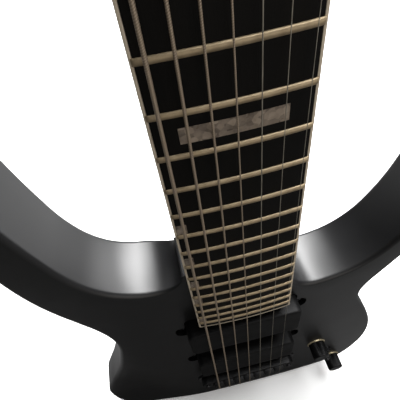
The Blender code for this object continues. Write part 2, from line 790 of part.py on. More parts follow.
def make_string(index):
    nut = string_at_nut(index)
    bridge = string_at_bridge(index)
    name = f"string_{STRING_COUNT - index}"
    x = bridge.x
    anchor = -ANCHOR_D
    slope = (bridge - nut).normalized()
    nut_back = Vector((nut.x, nut.y + NUT_FALL, NUT_LENGTH))
    points = [Vector((x, BACK_Y - 0.0085, anchor)), Vector((x, FACE_Y + 0.002, anchor)),
              Vector((x, FACE_Y - 0.0004, anchor + 0.0004)),
              bridge + slope * (STRING_BREAK_D - saddle_distance(index)), bridge - slope * SADDLE_CREST]
    points += [nut + Vector((0, 0, GAP)), nut_back]
    points += wound_end(index, nut_back)
    finish = WOUND if index < 4 else STEEL
    paint(wire(name, points, STRING_GAUGES[index] / 2), **finish)


# Tuners

def make_tuner(index):
    side, h = post_place(index)
    number = STRING_COUNT - index
    base = HEAD @ Matrix.Translation((side * POST_X, h, 0))
    back = -HEAD_THICK - SNUG
    housing = block(f"tuner_housing_{number}", (0.0135, 0.0180, TUNER_DEPTH), (0, 0, 0))
    housing.matrix_world = base @ Matrix.Translation((0, 0.0025, back - TUNER_DEPTH / 2))
    sleeve = lathe(f"tuner_sleeve_{number}", [
        (0.0, SNUG + 0.0022), (0.0052, SNUG + 0.0022), (0.0066, SNUG + 0.0012), (0.0066, SNUG),
        (SLEEVE_RADIUS, SNUG), (SLEEVE_RADIUS, back - 0.003), (0.0, back - 0.003)],
        (0, 0, 0), "+Z", 14, cutter=True)
    sleeve.matrix_world = base
    bore = rod(f"tuner_bore_{number}", POST_RADIUS + GAP, back - 0.0085, 0.004, (0, 0, 0), "+Z", 14,
               cutter=True)
    bore.matrix_world = base
    chamber = rod(f"tuner_chamber_{number}", 0.0053, back - 0.0085, back - 0.0030, (0, 0, 0), "+Z", 14,
                  cutter=True)
    chamber.matrix_world = base
    middle = back - 0.0055
    way = rod(f"tuner_way_{number}", 0.0026, -0.0052, 0.012, (0, 0, 0), "+X", 12, cutter=True)
    outward = Matrix.Identity(4) if side > 0 else Matrix.Rotation(math.pi, 4, "Z")
    way.matrix_world = base @ Matrix.Translation((0, WORM_OFFSET, middle)) @ outward
    join(housing, sleeve)
    cut(housing, bore, chamber, way)
    paint(housing, **BLACK_NICKEL)
    post = lathe(f"tuner_post_{number}", [
        (0.0, 0.0128), (0.0022, 0.0128), (POST_RADIUS, 0.0120), (POST_RADIUS, back - 0.0040),
        (0.0045, back - 0.0040), (0.0045, back - 0.0070), (0.0, back - 0.0070)], (0, 0, 0), "+Z", 14)
    post.matrix_world = base
    paint(post, **BLACK_NICKEL)
    button = lathe(f"tuner_button_{number}", [
        (0.0, 0.0300), (0.0045, 0.0300), (0.0070, 0.0280), (0.0074, 0.0245), (0.0060, 0.0210),
        (0.0018, 0.0195), (0.0018, 0.0060), (0.0022, 0.0055), (0.0022, -0.0045), (0.0, -0.0045)],
        (0, 0, 0), "+Z", 12)
    button.data.transform(Matrix.Rotation(math.pi / 2, 4, "Y"))
    for vertex in button.data.vertices:
        if vertex.co.x > 0.0195:
            vertex.co.y *= 1.22
            vertex.co.z *= 0.72
    button.matrix_world = base @ Matrix.Translation((0, WORM_OFFSET, middle)) @ outward
    paint(button, **BLACK_NICKEL)


# Pickups and bridge

def make_pickup(name, distance):
    cover, ears = pickup_outlines(distance, 0.0)
    tall = PICKUP_FOOT_Y - PICKUP_TOP_Y
    pickup = plate(name, cover, tall, upright(PICKUP_TOP_Y + tall / 2), edge=0.0012)
    foot = plate(name + "_ears", ears, 0.0022, upright(PICKUP_FOOT_Y - 0.0020), cutter=True)
    join(pickup, foot)
    paint(pickup, **PLASTIC)


def make_bridge():
    tall = BAR_FOOT_Y - BAR_TOP_Y
    outline = rounded_box_outline(0, BRIDGE_D, 0.0970, 0.0146, 0.0060, 5)
    bar = plate("bridge", outline, tall, upright(BAR_TOP_Y + tall / 2), edge=0.0008)
    half = SADDLE_PITCH * STRING_COUNT / 2 + GAP
    trough_tall = TROUGH_FLOOR_Y - BAR_TOP_Y + 0.003
    cut(bar, block("bridge_trough", (2 * half, trough_tall, TROUGH_LENGTH),
                   (0, TROUGH_FLOOR_Y - trough_tall / 2, -BRIDGE_D), cutter=True))
    for sign, label in ((-1, "bass"), (1, "treble")):
        at = (sign * POST_HALF_SPAN, 0, -BRIDGE_D)
        cut(bar, rod(label + "_post_bore", 0.0027, 0.0, 0.012, at, steps=16, cutter=True))
        post = lathe("bridge_post_" + label, [
            (0.0, 0.0102), (0.0020, 0.0102), (0.0024, 0.0096), (0.0024, -BAR_FOOT_Y - GAP),
            (0.0080, -BAR_FOOT_Y - GAP), (0.0086, 0.0009), (0.0086, -0.0004), (0.0080, -0.0010),
            (0.0039, -0.0010), (0.0039, -0.0280), (0.0030, -0.0290), (0.0, -0.0290)], at, steps=18)
        paint(post, **BLACK_NICKEL)
    paint(bar, **BLACK_NICKEL)


def make_saddle(index):
    at = string_at_bridge(index)
    top = at.y + STRING_GAUGES[index] / 2 + SNUG
    wide = SADDLE_PITCH - 2 * GAP
    low = TROUGH_FLOOR_Y - SNUG
    shoulder = BAR_TOP_Y + 0.0006
    half = SADDLE_LENGTH / 2
    rings = []
    for x in (-wide / 2, wide / 2):
        rings.append([(x, low, half), (x, low, -half), (x, shoulder, -half), (x, top, -SADDLE_CREST + SNUG),
                      (x, top, SADDLE_CREST - SNUG), (x, shoulder, half)])
    saddle = loft(f"saddle_{STRING_COUNT - index}", rings)
    saddle.location = (at.x, 0, at.z)
    paint(saddle, **BLACK_NICKEL)


# Controls, jack, cover and strap buttons

KNOB_RADIUS = 0.0083
KNOB_TOP = 0.0163
POT_RADIUS = 0.0070
SWITCH_PIVOT_DEPTH = 0.0030


def make_control(knob_name, pot_name, place):
    x, d = place
    at = (x, FACE_Y, -d)
    nut_top = 0.0022
    pot = lathe(pot_name, [
        (0.0038, 0.0040), (0.0038, nut_top), (0.0055, nut_top), (0.0055, SNUG), (0.0038, SNUG),
        (0.0038, -0.0082), (POT_RADIUS, -0.0082), (POT_RADIUS, -0.0170), (0.0033, -0.0170),
        (0.0033, 0.0040)], at, steps=18)
    paint(pot, **STEEL)
    knob = lathe(knob_name, [
        (0.0, KNOB_TOP), (KNOB_RADIUS - 0.0012, KNOB_TOP), (KNOB_RADIUS, KNOB_TOP - 0.0010),
        (KNOB_RADIUS, 0.0008), (KNOB_RADIUS - 0.0004, 0.0005), (0.0062, 0.0005), (0.0062, 0.0046),
        (0.0030, 0.0046), (0.0030, -0.0160), (0.0, -0.0160)], at, steps=20)
    paint(knob, **BLACK_NICKEL)


def make_switch():
    x, d = SWITCH_AT
    at = (x, FACE_Y, -d)
    case = block("toggle_switch", (0.016, 0.018, 0.022), (x, FACE_Y + 0.0082 + 0.009, -d), bevel=0.0008)
    collar = lathe("switch_collar", [
        (0.0, 0.0034), (0.0058, 0.0034), (0.0058, 0.0022), (0.0078, 0.0022), (0.0080, 0.0018),
        (0.0080, SNUG), (0.0058, SNUG), (0.0058, -0.0120), (0.0, -0.0120)], at, steps=20, cutter=True)
    bore = lathe("switch_bore", [
        (0.0, 0.0060), (0.0044, 0.0060), (0.0034, -0.0020), (0.0034, -0.0090), (0.0, -0.0090)],
        at, steps=16, cutter=True)
    join(case, collar)
    cut(case, bore)
    paint(case, **BLACK_NICKEL)
    lever = lathe("toggle_lever", [
        (0.0, 0.0155), (0.0018, 0.0150), (0.0028, 0.0133), (0.0030, 0.0112), (0.0024, 0.0085),
        (0.0018, 0.0072), (0.0015, 0.0066), (0.0015, -0.0018), (0.0, -0.0024)],
        (x, FACE_Y + SWITCH_PIVOT_DEPTH, -d), steps=16)
    paint(lever, **BLACK_NICKEL)



def make_jack():
    x, y, d = JACK_AT
    jack = lathe("output_jack", [
        (0.0, -0.0310), (0.0033, -0.0310), (0.0033, -0.0004), (0.0090, -0.0004), (0.0096, -0.0010),
        (0.0096, -0.0022), (0.0060, -0.0022), (0.0060, -0.0330), (0.0, -0.0330)],
        (x, y, -d), "+X", 18)
    paint(jack, **BLACK_NICKEL)


def make_cover():
    lip = grow_outline(CAVITY_OUTLINE, COVER_LIP)
    thick = COVER_THICK - 2 * SNUG
    cover = plate("control_cover", lip, thick, upright(BACK_Y - COVER_THICK / 2))
    paint(cover, **PLASTIC)
    battery = block("battery", (0.0175, 0.0265, 0.0485), (0.0495, CAVITY_FLOOR_Y + GAP + 0.01325,
                    -BRIDGE_D - 0.036), bevel=0.0012)
    paint(battery, **BATTERY_CASE)


def make_strap_button(name, place, axis):
    button = lathe(name, [
        (0.0, 0.0112), (0.0062, 0.0112), (0.0070, 0.0104), (0.0070, 0.0092), (0.0044, 0.0078),
        (0.0038, 0.0050), (0.0046, 0.0022), (0.0066, 0.0012), (0.0066, 0.0), (0.0, 0.0)],
        place, axis, 18)
    paint(button, **BLACK_NICKEL)
    return button


def make_all():
    make_body()
    make_neck()
    make_board()
    make_board_trim()
    make_truss_rod_cover()
    for i in range(STRING_COUNT):
        make_string(i)
        make_tuner(i)
        make_saddle(i)
    make_pickup("neck_pickup", NECK_PICKUP_D)
    make_pickup("bridge_pickup", BRIDGE_PICKUP_D)
    make_bridge()
    make_control("volume_knob", "volume_pot", VOLUME_AT)
    make_control("tone_knob", "tone_pot", TONE_AT)
    make_switch()
    make_jack()
    make_cover()
    middle_y = (FACE_Y + BACK_Y) / 2
    end_z = -BRIDGE_D - 0.0966 - SNUG
    bottom = make_strap_button("strap_button_end", (0, middle_y, end_z), "+Z")
    bottom.rotation_euler = (math.pi, 0, 0)
    make_strap_button("strap_button_horn", (-0.1222, middle_y, -BRIDGE_D + 0.3538 + SNUG), "+Z")


make_all()
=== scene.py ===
"""Looks of the seven-string electric guitar: finishes, fine forms, light and camera.

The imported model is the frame. Each piece made here stands in for a node at the
same place, with finer form, or is small trim that the node leaves out. A place
along the strings is given as a distance from the nut, so its height is minus
that; the front faces -Y and the treble side is +X.
"""

import math

import bmesh
import bpy
from mathutils import Matrix, Vector
from mathutils.geometry import delaunay_2d_cdt


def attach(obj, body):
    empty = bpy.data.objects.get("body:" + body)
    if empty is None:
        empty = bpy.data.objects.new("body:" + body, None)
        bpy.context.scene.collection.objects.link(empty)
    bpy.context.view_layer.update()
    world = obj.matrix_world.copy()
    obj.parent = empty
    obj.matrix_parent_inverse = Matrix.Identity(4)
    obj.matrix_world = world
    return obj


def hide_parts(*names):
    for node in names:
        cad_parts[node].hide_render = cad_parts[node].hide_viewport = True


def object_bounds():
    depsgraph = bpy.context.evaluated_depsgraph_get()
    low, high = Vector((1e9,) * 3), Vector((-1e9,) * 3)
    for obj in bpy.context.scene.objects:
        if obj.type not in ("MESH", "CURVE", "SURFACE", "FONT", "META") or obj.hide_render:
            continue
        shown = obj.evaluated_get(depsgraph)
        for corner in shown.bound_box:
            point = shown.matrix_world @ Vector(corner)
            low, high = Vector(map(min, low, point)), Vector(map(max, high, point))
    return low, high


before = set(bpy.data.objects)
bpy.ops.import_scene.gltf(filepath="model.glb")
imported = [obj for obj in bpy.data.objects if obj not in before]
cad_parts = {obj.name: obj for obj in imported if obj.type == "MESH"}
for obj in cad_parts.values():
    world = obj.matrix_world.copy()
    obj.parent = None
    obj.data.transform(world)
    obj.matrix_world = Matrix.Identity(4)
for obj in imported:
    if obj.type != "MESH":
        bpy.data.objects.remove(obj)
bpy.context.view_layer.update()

MM = 0.001
ORIGIN = (0, 0, 0)
SIDES = ((-1, "bass"), (1, "treble"))
WHITE = (1.0, 1.0, 1.0, 1.0)

# Driving dimensions
SCALE_LENGTH = 0.6477
FRET_COUNT = 24
STRING_COUNT = 7
NUT_WIDTH = 0.049
LAST_FRET_WIDTH = 0.067
BOARD_THICK = 0.0064
BOARD_RADIUS = 0.355
BOARD_PAST_LAST_FRET = 0.0082
FRET_HEIGHT = 0.0011
FRET_WIDTH = 0.0026
BINDING_THICK = 0.0012
NUT_LENGTH = 0.005
NECK_RISE = 0.0055
BODY_THICK = 0.045
EDGE_RADIUS = 0.0035
HEEL_CARVE = 0.0155
HEEL_CARVE_SPREAD = 0.027
HEEL_CARVE_LENGTH = 0.060
STRING_SPAN_NUT = 0.039
STRING_SPAN_BRIDGE = 0.0642
STRING_GAUGES = [0.0015, 0.00117, 0.00091, 0.00066, 0.00043, 0.00033, 0.00025]
WOUND_STRINGS = 4
ACTION_NUT = 0.0005
NUT_FALL = 0.0004
ACTION_BRIDGE = 0.0048
HEAD_ANGLE = math.radians(11.0)
HEAD_THICK = 0.0145
HEAD_BLEND = 0.026
NECK_ROUND = 2.25
NECK_AT_HEAD = 7.0
SNUG = 0.0001
GAP = 0.0003
OVERCUT = 0.004


def fret_distance(number):
    return SCALE_LENGTH * (1.0 - 2.0 ** (-number / 12.0))


# Planes square to the body, as Y values, and the ends of the fretboard
FACE_Y = NECK_RISE
BACK_Y = FACE_Y + BODY_THICK
FRET_TOP_Y = -(BOARD_THICK + FRET_HEIGHT)
LAST_FRET = fret_distance(FRET_COUNT)
BOARD_END = LAST_FRET + BOARD_PAST_LAST_FRET

# Body outline in millimetres as (across, distance past the bridge line); it starts
# at the bass corner of the neck joint and runs round by way of the bass horn
BODY_OUTLINE = [
    (-34.5, -213), (-36.5, -207.5), (-42, -201.5), (-50, -198.5), (-61, -199.5), (-71, -203.5),
    (-80, -210), (-87.5, -219), (-94, -231), (-99.5, -247), (-103.5, -266), (-107, -287),
    (-110, -310), (-112.8, -330), (-114.3, -344), (-117, -350.7), (-122.3, -353), (-127.8, -350.7),
    (-130.6, -344), (-132, -320), (-131.5, -285), (-129.5, -257), (-126.5, -230), (-121, -207),
    (-113, -184), (-106, -164), (-102, -146), (-101, -130), (-103, -113), (-107, -97),
    (-112.5, -77), (-119, -55), (-126.5, -34), (-135, -13), (-144.5, 7), (-152.5, 25), (-156.5, 40),
    (-155.5, 54), (-149.5, 67), (-139, 77.5), (-124, 84.5), (-104, 88.5), (-78, 92), (-50, 94.5),
    (-20, 96), (15, 96.5), (50, 95), (76, 92), (98, 87.5), (112, 81), (121, 72.5), (128, 59.5),
    (133, 44), (136.8, 24), (137.2, 3), (134.8, -17), (129.8, -37), (122.8, -57), (115, -76.5),
    (107.8, -94), (104.3, -107), (104.8, -119), (108.2, -130), (113, -140.5), (119, -152.5),
    (127, -170), (134, -189), (139.5, -209), (143.3, -228), (145.3, -247), (144.6, -254.5),
    (142, -259.2), (137.8, -260.6), (133.6, -258.6), (131.6, -253.5), (127.3, -233), (121, -210.5),
    (113.8, -193), (105.5, -178.5), (95.5, -167.5), (83.5, -159.5), (70.5, -155.2), (58, -153.8),
    (49, -156.5), (42, -164), (38, -176), (36, -192), (34.5, -207), (34.2, -213), (20, -213),
    (-20, -213),
]
OUTLINE_STEPS = 6
SURFACE_GRID = 0.013
ROUND_STEPS = 6

# Pickup, bridge and control sizes
PICKUP_LENGTH = 0.0889
PICKUP_WIDTH = 0.0381
PICKUP_TOP_Y = -0.0085
PICKUP_FOOT_Y = 0.0155
EARS_Y = PICKUP_FOOT_Y - 0.0031
EARS_THICK = 0.0022
EAR_SPAN = 0.106
EAR_WIDTH = 0.014
ROUT_DEPTH = 0.019
ROUT_CLEAR = 0.0012
BOARD_TO_PICKUP = 0.0130
PICKUP_TO_BRIDGE = 0.0520
BRIDGE_TO_ANCHORS = 0.0530
SADDLE_SET_BACK = 0.0023
BAR_TOP_Y = -0.0090
BAR_FOOT_Y = -0.0018
BAR_LENGTH = 0.0970
BAR_WIDTH = 0.0146
TROUGH_FLOOR_Y = -0.0042
SADDLE_PITCH = STRING_SPAN_BRIDGE / (STRING_COUNT - 1)
SADDLE_LENGTH = 0.0050
SADDLE_CREST = 0.0009
TROUGH_LENGTH = 0.0114
POST_HALF_SPAN = 0.0432
WHEEL_RADIUS = 0.0086
KNOB_RADIUS = 0.0083
KNOB_TOP = 0.0163

# Places along the strings, as distances from the nut
BRIDGE_D = SCALE_LENGTH + SADDLE_SET_BACK
ANCHOR_D = BRIDGE_D + BRIDGE_TO_ANCHORS
HEEL_D = BRIDGE_D + BODY_OUTLINE[0][1] * MM
NECK_PICKUP_D = BOARD_END + BOARD_TO_PICKUP + PICKUP_WIDTH / 2
BRIDGE_PICKUP_D = BRIDGE_D - PICKUP_TO_BRIDGE
STRING_BREAK_D = BRIDGE_D + (TROUGH_LENGTH - SADDLE_LENGTH) / 2 + SADDLE_CREST

# Control positions on the face, as (across, distance from nut), the jack's centre and the strap buttons
VOLUME_AT = (0.079, BRIDGE_D + 0.001)
TONE_AT = (0.1055, BRIDGE_D + 0.066)
SWITCH_AT = (0.092, BRIDGE_D + 0.033)
SWITCH_PIVOT_DEPTH = 0.0030
JACK_AT = (0.1369, 0.028, BRIDGE_D + 0.018)
END_BUTTON_D = BRIDGE_D + 0.0966
HORN_BUTTON_X = -0.1222
HORN_BUTTON_D = BRIDGE_D - 0.3538

# Headstock and neck
SLOT_FLOOR_Y = 0.022
HEAD_SIDE = [(24.2, 0.5), (25, 8), (28, 20), (34, 32), (38, 46), (40, 70), (41.5, 110), (42.5, 150),
             (41, 163), (35, 171), (24, 174.5), (12, 173.5)]
ROD_WIDTH = 0.006
ROD_COVER_THICK = 0.0020
POST_X = 0.0275
POST_RADIUS = 0.003
SLEEVE_RADIUS = 0.0044
BASS_POSTS = [0.042, 0.076, 0.110, 0.144]
TREBLE_POSTS = [0.050, 0.086, 0.122]
STRING_TURNS = 1.25
WORM_OFFSET = 0.0072
WORM_DEPTH = 0.0055
TUNER_DEPTH = 0.0105

# Fretboard trim
INLAY_HALF_WIDTH = 0.0200
INLAY_LENGTH = 0.0073
INLAY_TO_FRET = 0.0056
MARKED_FRETS = [3, 5, 7, 9, 15, 17, 19, 21, 24]
MARKER_WIDTH = 0.0048
MARKER_LENGTH = 0.0072

# Control cavity
CAVITY_POINTS = [
    (37, 59), (36, 35), (38, 9), (52, -2), (66, -10), (80, -12), (93, -7), (105, 6), (113, 25),
    (115, 46), (114, 65), (108, 74), (98, 74), (88, 65), (70, 63), (50, 63),
]
CAVITY_FLOOR_Y = FACE_Y + 0.008
COVER_THICK = 0.0023
COVER_LIP = 0.0032


# Materials

def shader_of(material):
    return material.node_tree.nodes["Principled BSDF"]


def fill_in(node, values, links):
    """Set a shader node's constant inputs and join its linked ones."""
    for key, value in values.items():
        node.inputs[key].default_value = value
    for key, socket in links.items():
        node.id_data.links.new(socket, node.inputs[key])
    return node


def add_node(tree, kind, values, links):
    return fill_in(tree.nodes.new("ShaderNode" + kind), values, links)


def object_place(tree):
    return tree.nodes.new("ShaderNodeTexCoord").outputs["Object"]


def noise(tree, place, scale, detail=3.0, stretch=(1.0, 1.0, 1.0)):
    mapping = add_node(tree, "Mapping", {"Scale": stretch}, {"Vector": place})
    texture = add_node(tree, "TexNoise", {"Scale": scale, "Detail": detail},
                       {"Vector": mapping.outputs["Vector"]})
    return texture.outputs["Fac"]


def spread(tree, value, low, high):
    """Map a noise value, mostly 0.3 to 0.7, to the range low to high."""
    ends = {"From Min": 0.3, "From Max": 0.7, "To Min": low, "To Max": high}
    return add_node(tree, "MapRange", ends, {"Value": value}).outputs["Result"]


def blend_colours(tree, value, dark, light):
    mix = tree.nodes.new("ShaderNodeMix")
    mix.data_type = "RGBA"
    fill_in(mix, {"A": (*dark, 1.0), "B": (*light, 1.0)}, {"Factor": value})
    return mix.outputs["Result"]


def bump(tree, shader, height, depth):
    step = add_node(tree, "Bump", {"Strength": 1.0, "Distance": depth}, {"Height": height})
    tree.links.new(step.outputs["Normal"], shader.inputs["Normal"])


def finish(name, dark, light, roughness, metallic=0.0, specular=0.5, patch=60.0, grain=900.0,
           grain_depth=0.00002, stretch=(1.0, 1.0, 1.0), rough_spread=0.06):
    """A surface whose colour and gloss drift in soft patches and whose bump has a fine grain."""
    material = bpy.data.materials.new(name)
    material.use_nodes = True
    tree = material.node_tree
    shader = shader_of(material)
    place = object_place(tree)
    patches = noise(tree, place, patch, 4.0, stretch)
    fine = noise(tree, place, grain, 2.0, stretch)
    shade = blend_colours(tree, spread(tree, patches, 0.0, 1.0), dark, light)
    gloss = spread(tree, patches, roughness - rough_spread, roughness + rough_spread)
    fill_in(shader, {"Metallic": metallic, "Specular IOR Level": specular},
            {"Base Color": shade, "Roughness": gloss})
    bump(tree, shader, fine, grain_depth)
    return material


def wound_finish():
    """Round-wound string: a tight winding shown as a fine slanted ripple, with painted shade in its grooves
    and a painted highlight on its crests.
    """
    material = finish("wound_string", (0.20, 0.16, 0.12), (0.34, 0.28, 0.21), 0.48, metallic=0.5,
                      patch=220.0)
    tree = material.node_tree
    shader = shader_of(material)
    tilt = add_node(tree, "Mapping", {"Rotation": (0.0, WINDING_TILT, 0.0)}, {"Vector": object_place(tree)})
    ripple = add_node(tree, "TexWave", {"Scale": WINDING_SCALE}, {"Vector": tilt.outputs["Vector"]})
    ripple.bands_direction = "Z"
    bump(tree, shader, ripple.outputs["Fac"], 0.00005)
    # Painted shade and highlight: the string's tan colour is darker in the ripple's grooves and lighter on
    # its crests.
    shade = blend_colours(tree, ripple.outputs["Fac"], (0.265, 0.207, 0.15), (0.44, 0.353, 0.265))
    tree.links.new(shade, shader.inputs["Base Color"])
    return material


def board_finish():
    """Near-black fretboard wood with fine pores drawn out along the neck."""
    material = finish("fretboard_wood", (0.0018, 0.0017, 0.0015), (0.0048, 0.0040, 0.0032), 0.58,
                      specular=0.12, patch=140.0, stretch=(1.0, 1.0, 0.06))
    tree = material.node_tree
    pores = noise(tree, object_place(tree), 2200.0, 3.0, (1.0, 1.0, 0.035))
    bump(tree, shader_of(material), pores, 0.00006)
    return material


def pearl_finish():
    """Mottled grey-brown pearl: cells of slightly different tone and gloss."""
    material = finish("pearl", (0.07, 0.06, 0.05), (0.20, 0.17, 0.14), 0.30, patch=170.0, grain=500.0)
    tree = material.node_tree
    shader = shader_of(material)
    place = object_place(tree)
    cells = add_node(tree, "TexVoronoi", {"Scale": 420.0}, {"Vector": place})
    drift = noise(tree, place, 190.0, 5.0)
    grey = add_node(tree, "RGBToBW", {}, {"Color": cells.outputs["Color"]})
    tone = tree.nodes.new("ShaderNodeMix")
    tone.data_type = "FLOAT"
    fill_in(tone, {"Factor": 0.6}, {"A": grey.outputs["Val"], "B": drift})
    shade = blend_colours(tree, spread(tree, tone.outputs["Result"], 0.0, 1.0),
                          (0.080, 0.058, 0.042), (0.36, 0.29, 0.225))
    fill_in(shader, {"Coat Weight": 0.4, "Coat Roughness": 0.12}, {"Base Color": shade})
    return material


WINDING_PITCH = 0.0007
WINDING_SCALE = math.tau / (20.0 * WINDING_PITCH)
WINDING_TILT = math.radians(24.0)

BODY_FINISH = finish("body_finish", (0.0052, 0.0052, 0.0056), (0.0072, 0.0072, 0.0076), 0.37, specular=0.45,
                     patch=18.0, grain=1400.0, grain_depth=0.000012, rough_spread=0.02)
NECK_FINISH = finish("neck_finish", (0.0052, 0.0052, 0.0056), (0.0074, 0.0074, 0.0078), 0.38, specular=0.42,
                     patch=22.0, grain=1400.0, grain_depth=0.000012)
BOARD_WOOD = board_finish()
BINDING = finish("binding_plastic", (0.54, 0.46, 0.35), (0.68, 0.59, 0.46), 0.48, patch=90.0)
PEARL = pearl_finish()
NUT_MATERIAL = finish("nut_material", (0.016, 0.016, 0.017), (0.034, 0.033, 0.032), 0.42, patch=320.0)
FRET_WIRE = finish("fret_wire", (0.29, 0.222, 0.135), (0.42, 0.33, 0.21), 0.46, metallic=0.55,
                   patch=320.0, stretch=(1.0, 0.3, 0.3))
PLAIN_STEEL = finish("plain_steel", (0.42, 0.41, 0.40), (0.62, 0.61, 0.59), 0.30, metallic=0.9, patch=160.0)
PLAIN_STRING = finish("plain_string", (0.255, 0.233, 0.19), (0.37, 0.342, 0.285), 0.45, metallic=0.5,
                      patch=160.0)
WOUND_STRING = wound_finish()
BLACK_NICKEL = finish("black_nickel", (0.030, 0.030, 0.033), (0.055, 0.054, 0.056), 0.26, metallic=0.9,
                      patch=120.0, grain=1600.0)
BRIDGE_METAL = finish("bridge_metal", (0.006, 0.006, 0.0065), (0.011, 0.011, 0.0115), 0.46, metallic=0.3,
                      specular=0.22, patch=140.0, grain=1600.0)
KNOB_METAL = finish("knob_metal", (0.005, 0.005, 0.0052), (0.009, 0.009, 0.0095), 0.38, metallic=0.5,
                    specular=0.22, patch=140.0, grain=1600.0)
BLACK_PLASTIC = finish("black_plastic", (0.010, 0.010, 0.011), (0.017, 0.017, 0.018), 0.5, patch=200.0,
                       grain=2200.0, grain_depth=0.00005)
PICKUP_PLASTIC = finish("pickup_plastic", (0.0038, 0.0038, 0.0040), (0.0056, 0.0056, 0.0058), 0.52,
                        specular=0.11, patch=60.0, grain=1800.0, grain_depth=0.00002)
BATTERY_CASE = finish("battery_case", (0.07, 0.07, 0.075), (0.13, 0.13, 0.14), 0.35, metallic=0.5,
                      patch=80.0)
# Knob washers: the washer is real, but its pale brass colour is a painted highlight for the glint at each
# knob's base.
WASHER_PAINTED_GLINT = finish("washer_painted_glint", (0.44, 0.37, 0.23), (0.60, 0.52, 0.35), 0.38, metallic=0.6, patch=260.0)


# Making and joining objects

CUTTERS = []


def add(name, mesh, material=None):
    obj = bpy.data.objects.new(name, mesh)
    bpy.context.scene.collection.objects.link(obj)
    if material is None:
        CUTTERS.append(obj)
    else:
        mesh.materials.clear()
        mesh.materials.append(material)
    return obj


def from_bmesh(name, bm, material=None):
    bmesh.ops.recalc_face_normals(bm, faces=bm.faces)
    mesh = bpy.data.meshes.new(name)
    bm.to_mesh(mesh)
    bm.free()
    return add(name, mesh, material)


def shade_round(obj, angle=0.6):
    bm = bmesh.new()
    bm.from_mesh(obj.data)
    for face in bm.faces:
        face.smooth = True
    for edge in bm.edges:
        edge.smooth = len(edge.link_faces) != 2 or edge.calc_face_angle() <= angle
    bm.to_mesh(obj.data)
    bm.free()
    return obj


def soften(obj, width, segments=3, angle=0.7):
    bevel = obj.modifiers.new("soft_edges", "BEVEL")
    bevel.width = width
    bevel.segments = segments
    bevel.limit_method = "ANGLE"
    bevel.angle_limit = angle
    bevel.harden_normals = False
    return obj


def combine(obj, other, operation):
    step = obj.modifiers.new(operation.lower(), "BOOLEAN")
    step.operation = operation
    step.solver = "EXACT"
    step.object = other


def cut(obj, *cutters):
    for item in cutters:
        combine(obj, item, "DIFFERENCE")


def join(obj, *pieces):
    for item in pieces:
        combine(obj, item, "UNION")


def bake(obj, angle=0.6):
    """Turn an object's modifiers into plain mesh, with soft shading but for its sharp edges."""
    bpy.context.view_layer.update()
    seen = obj.evaluated_get(bpy.context.evaluated_depsgraph_get())
    mesh = bpy.data.meshes.new_from_object(seen)
    obj.modifiers.clear()
    obj.data = mesh
    return shade_round(obj, angle)


def clear_cutters():
    for item in CUTTERS:
        bpy.data.objects.remove(item, do_unlink=True)
    CUTTERS.clear()


def dress(obj, slot, *nodes, body="guitar", angle=0.6):
    """Finish a piece: bake it, give it its body, and let it stand for its nodes. The slot argument is not
    used.
    """
    bake(obj, angle)
    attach(obj, body)
    if nodes:
        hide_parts(*nodes)
    return obj


def put(obj, at):
    """Place an object at a point or by a matrix."""
    obj.matrix_world = at if isinstance(at, Matrix) else Matrix.Translation(at)
    return obj


def shift(x, y, z):
    return Matrix.Translation((x, y, z))


def mm(*points):
    """Points given in millimetres."""
    return [(x * MM, y * MM) for x, y in points]


def block(name, size, at, material=None):
    bm = bmesh.new()
    bmesh.ops.create_cube(bm, size=1.0)
    bmesh.ops.scale(bm, verts=bm.verts, vec=size)
    return put(from_bmesh(name, bm, material), at)


TURNS = {"-Y": Matrix.Rotation(math.pi / 2, 4, "X"),
         "+Y": Matrix.Rotation(-math.pi / 2, 4, "X"),
         "+X": Matrix.Rotation(math.pi / 2, 4, "Y"),
         "+Z": Matrix.Identity(4),
         "-Z": Matrix.Rotation(math.pi, 4, "X")}


def lathe(name, profile, at, material=None, axis="-Y", steps=48):
    """Turn a list of (radius, height) about an axis; heights run along it."""
    bm = bmesh.new()
    points = [bm.verts.new((r, 0.0, h)) for r, h in profile]
    for a, b in zip(points, points[1:]):
        bm.edges.new((a, b))
    if profile[0][0] > 0.0:
        bm.edges.new((points[-1], points[0]))
    bmesh.ops.spin(bm, geom=bm.verts[:] + bm.edges[:], cent=ORIGIN, axis=(0, 0, 1),
                   angle=math.tau, steps=steps, use_merge=True, use_duplicate=False)
    bmesh.ops.remove_doubles(bm, verts=bm.verts, dist=1e-6)
    obj = from_bmesh(name, bm, material)
    obj.data.transform(TURNS[axis])
    return put(obj, at)


def turned(name, profile, at, *nodes, axis="-Y", steps=32, body="guitar", angle=0.6):
    """A finished piece of black nickel that the lathe alone makes."""
    piece = lathe(name, profile, at, BLACK_NICKEL, axis, steps)
    return dress(piece, "black_nickel", *nodes, body=body, angle=angle)


def rod(name, radius, low, high, at, material=None, axis="-Y", steps=32):
    profile = [(0.0, high), (radius, high), (radius, low), (0.0, low)]
    return lathe(name, profile, at, material, axis, steps)


def add_spline(curve, points):
    spline = curve.splines.new("POLY")
    spline.points.add(len(points) - 1)
    for point, place in zip(spline.points, points):
        point.co = (*place, 1.0)
    return spline


def mesh_of(curve):
    """The mesh that a curve's bevel and fill make."""
    guide = bpy.data.objects.new(curve.name + "_curve", curve)
    bpy.context.scene.collection.objects.link(guide)
    bpy.context.view_layer.update()
    seen = guide.evaluated_get(bpy.context.evaluated_depsgraph_get())
    mesh = bpy.data.meshes.new_from_object(seen)
    bpy.data.objects.remove(guide, do_unlink=True)
    return mesh


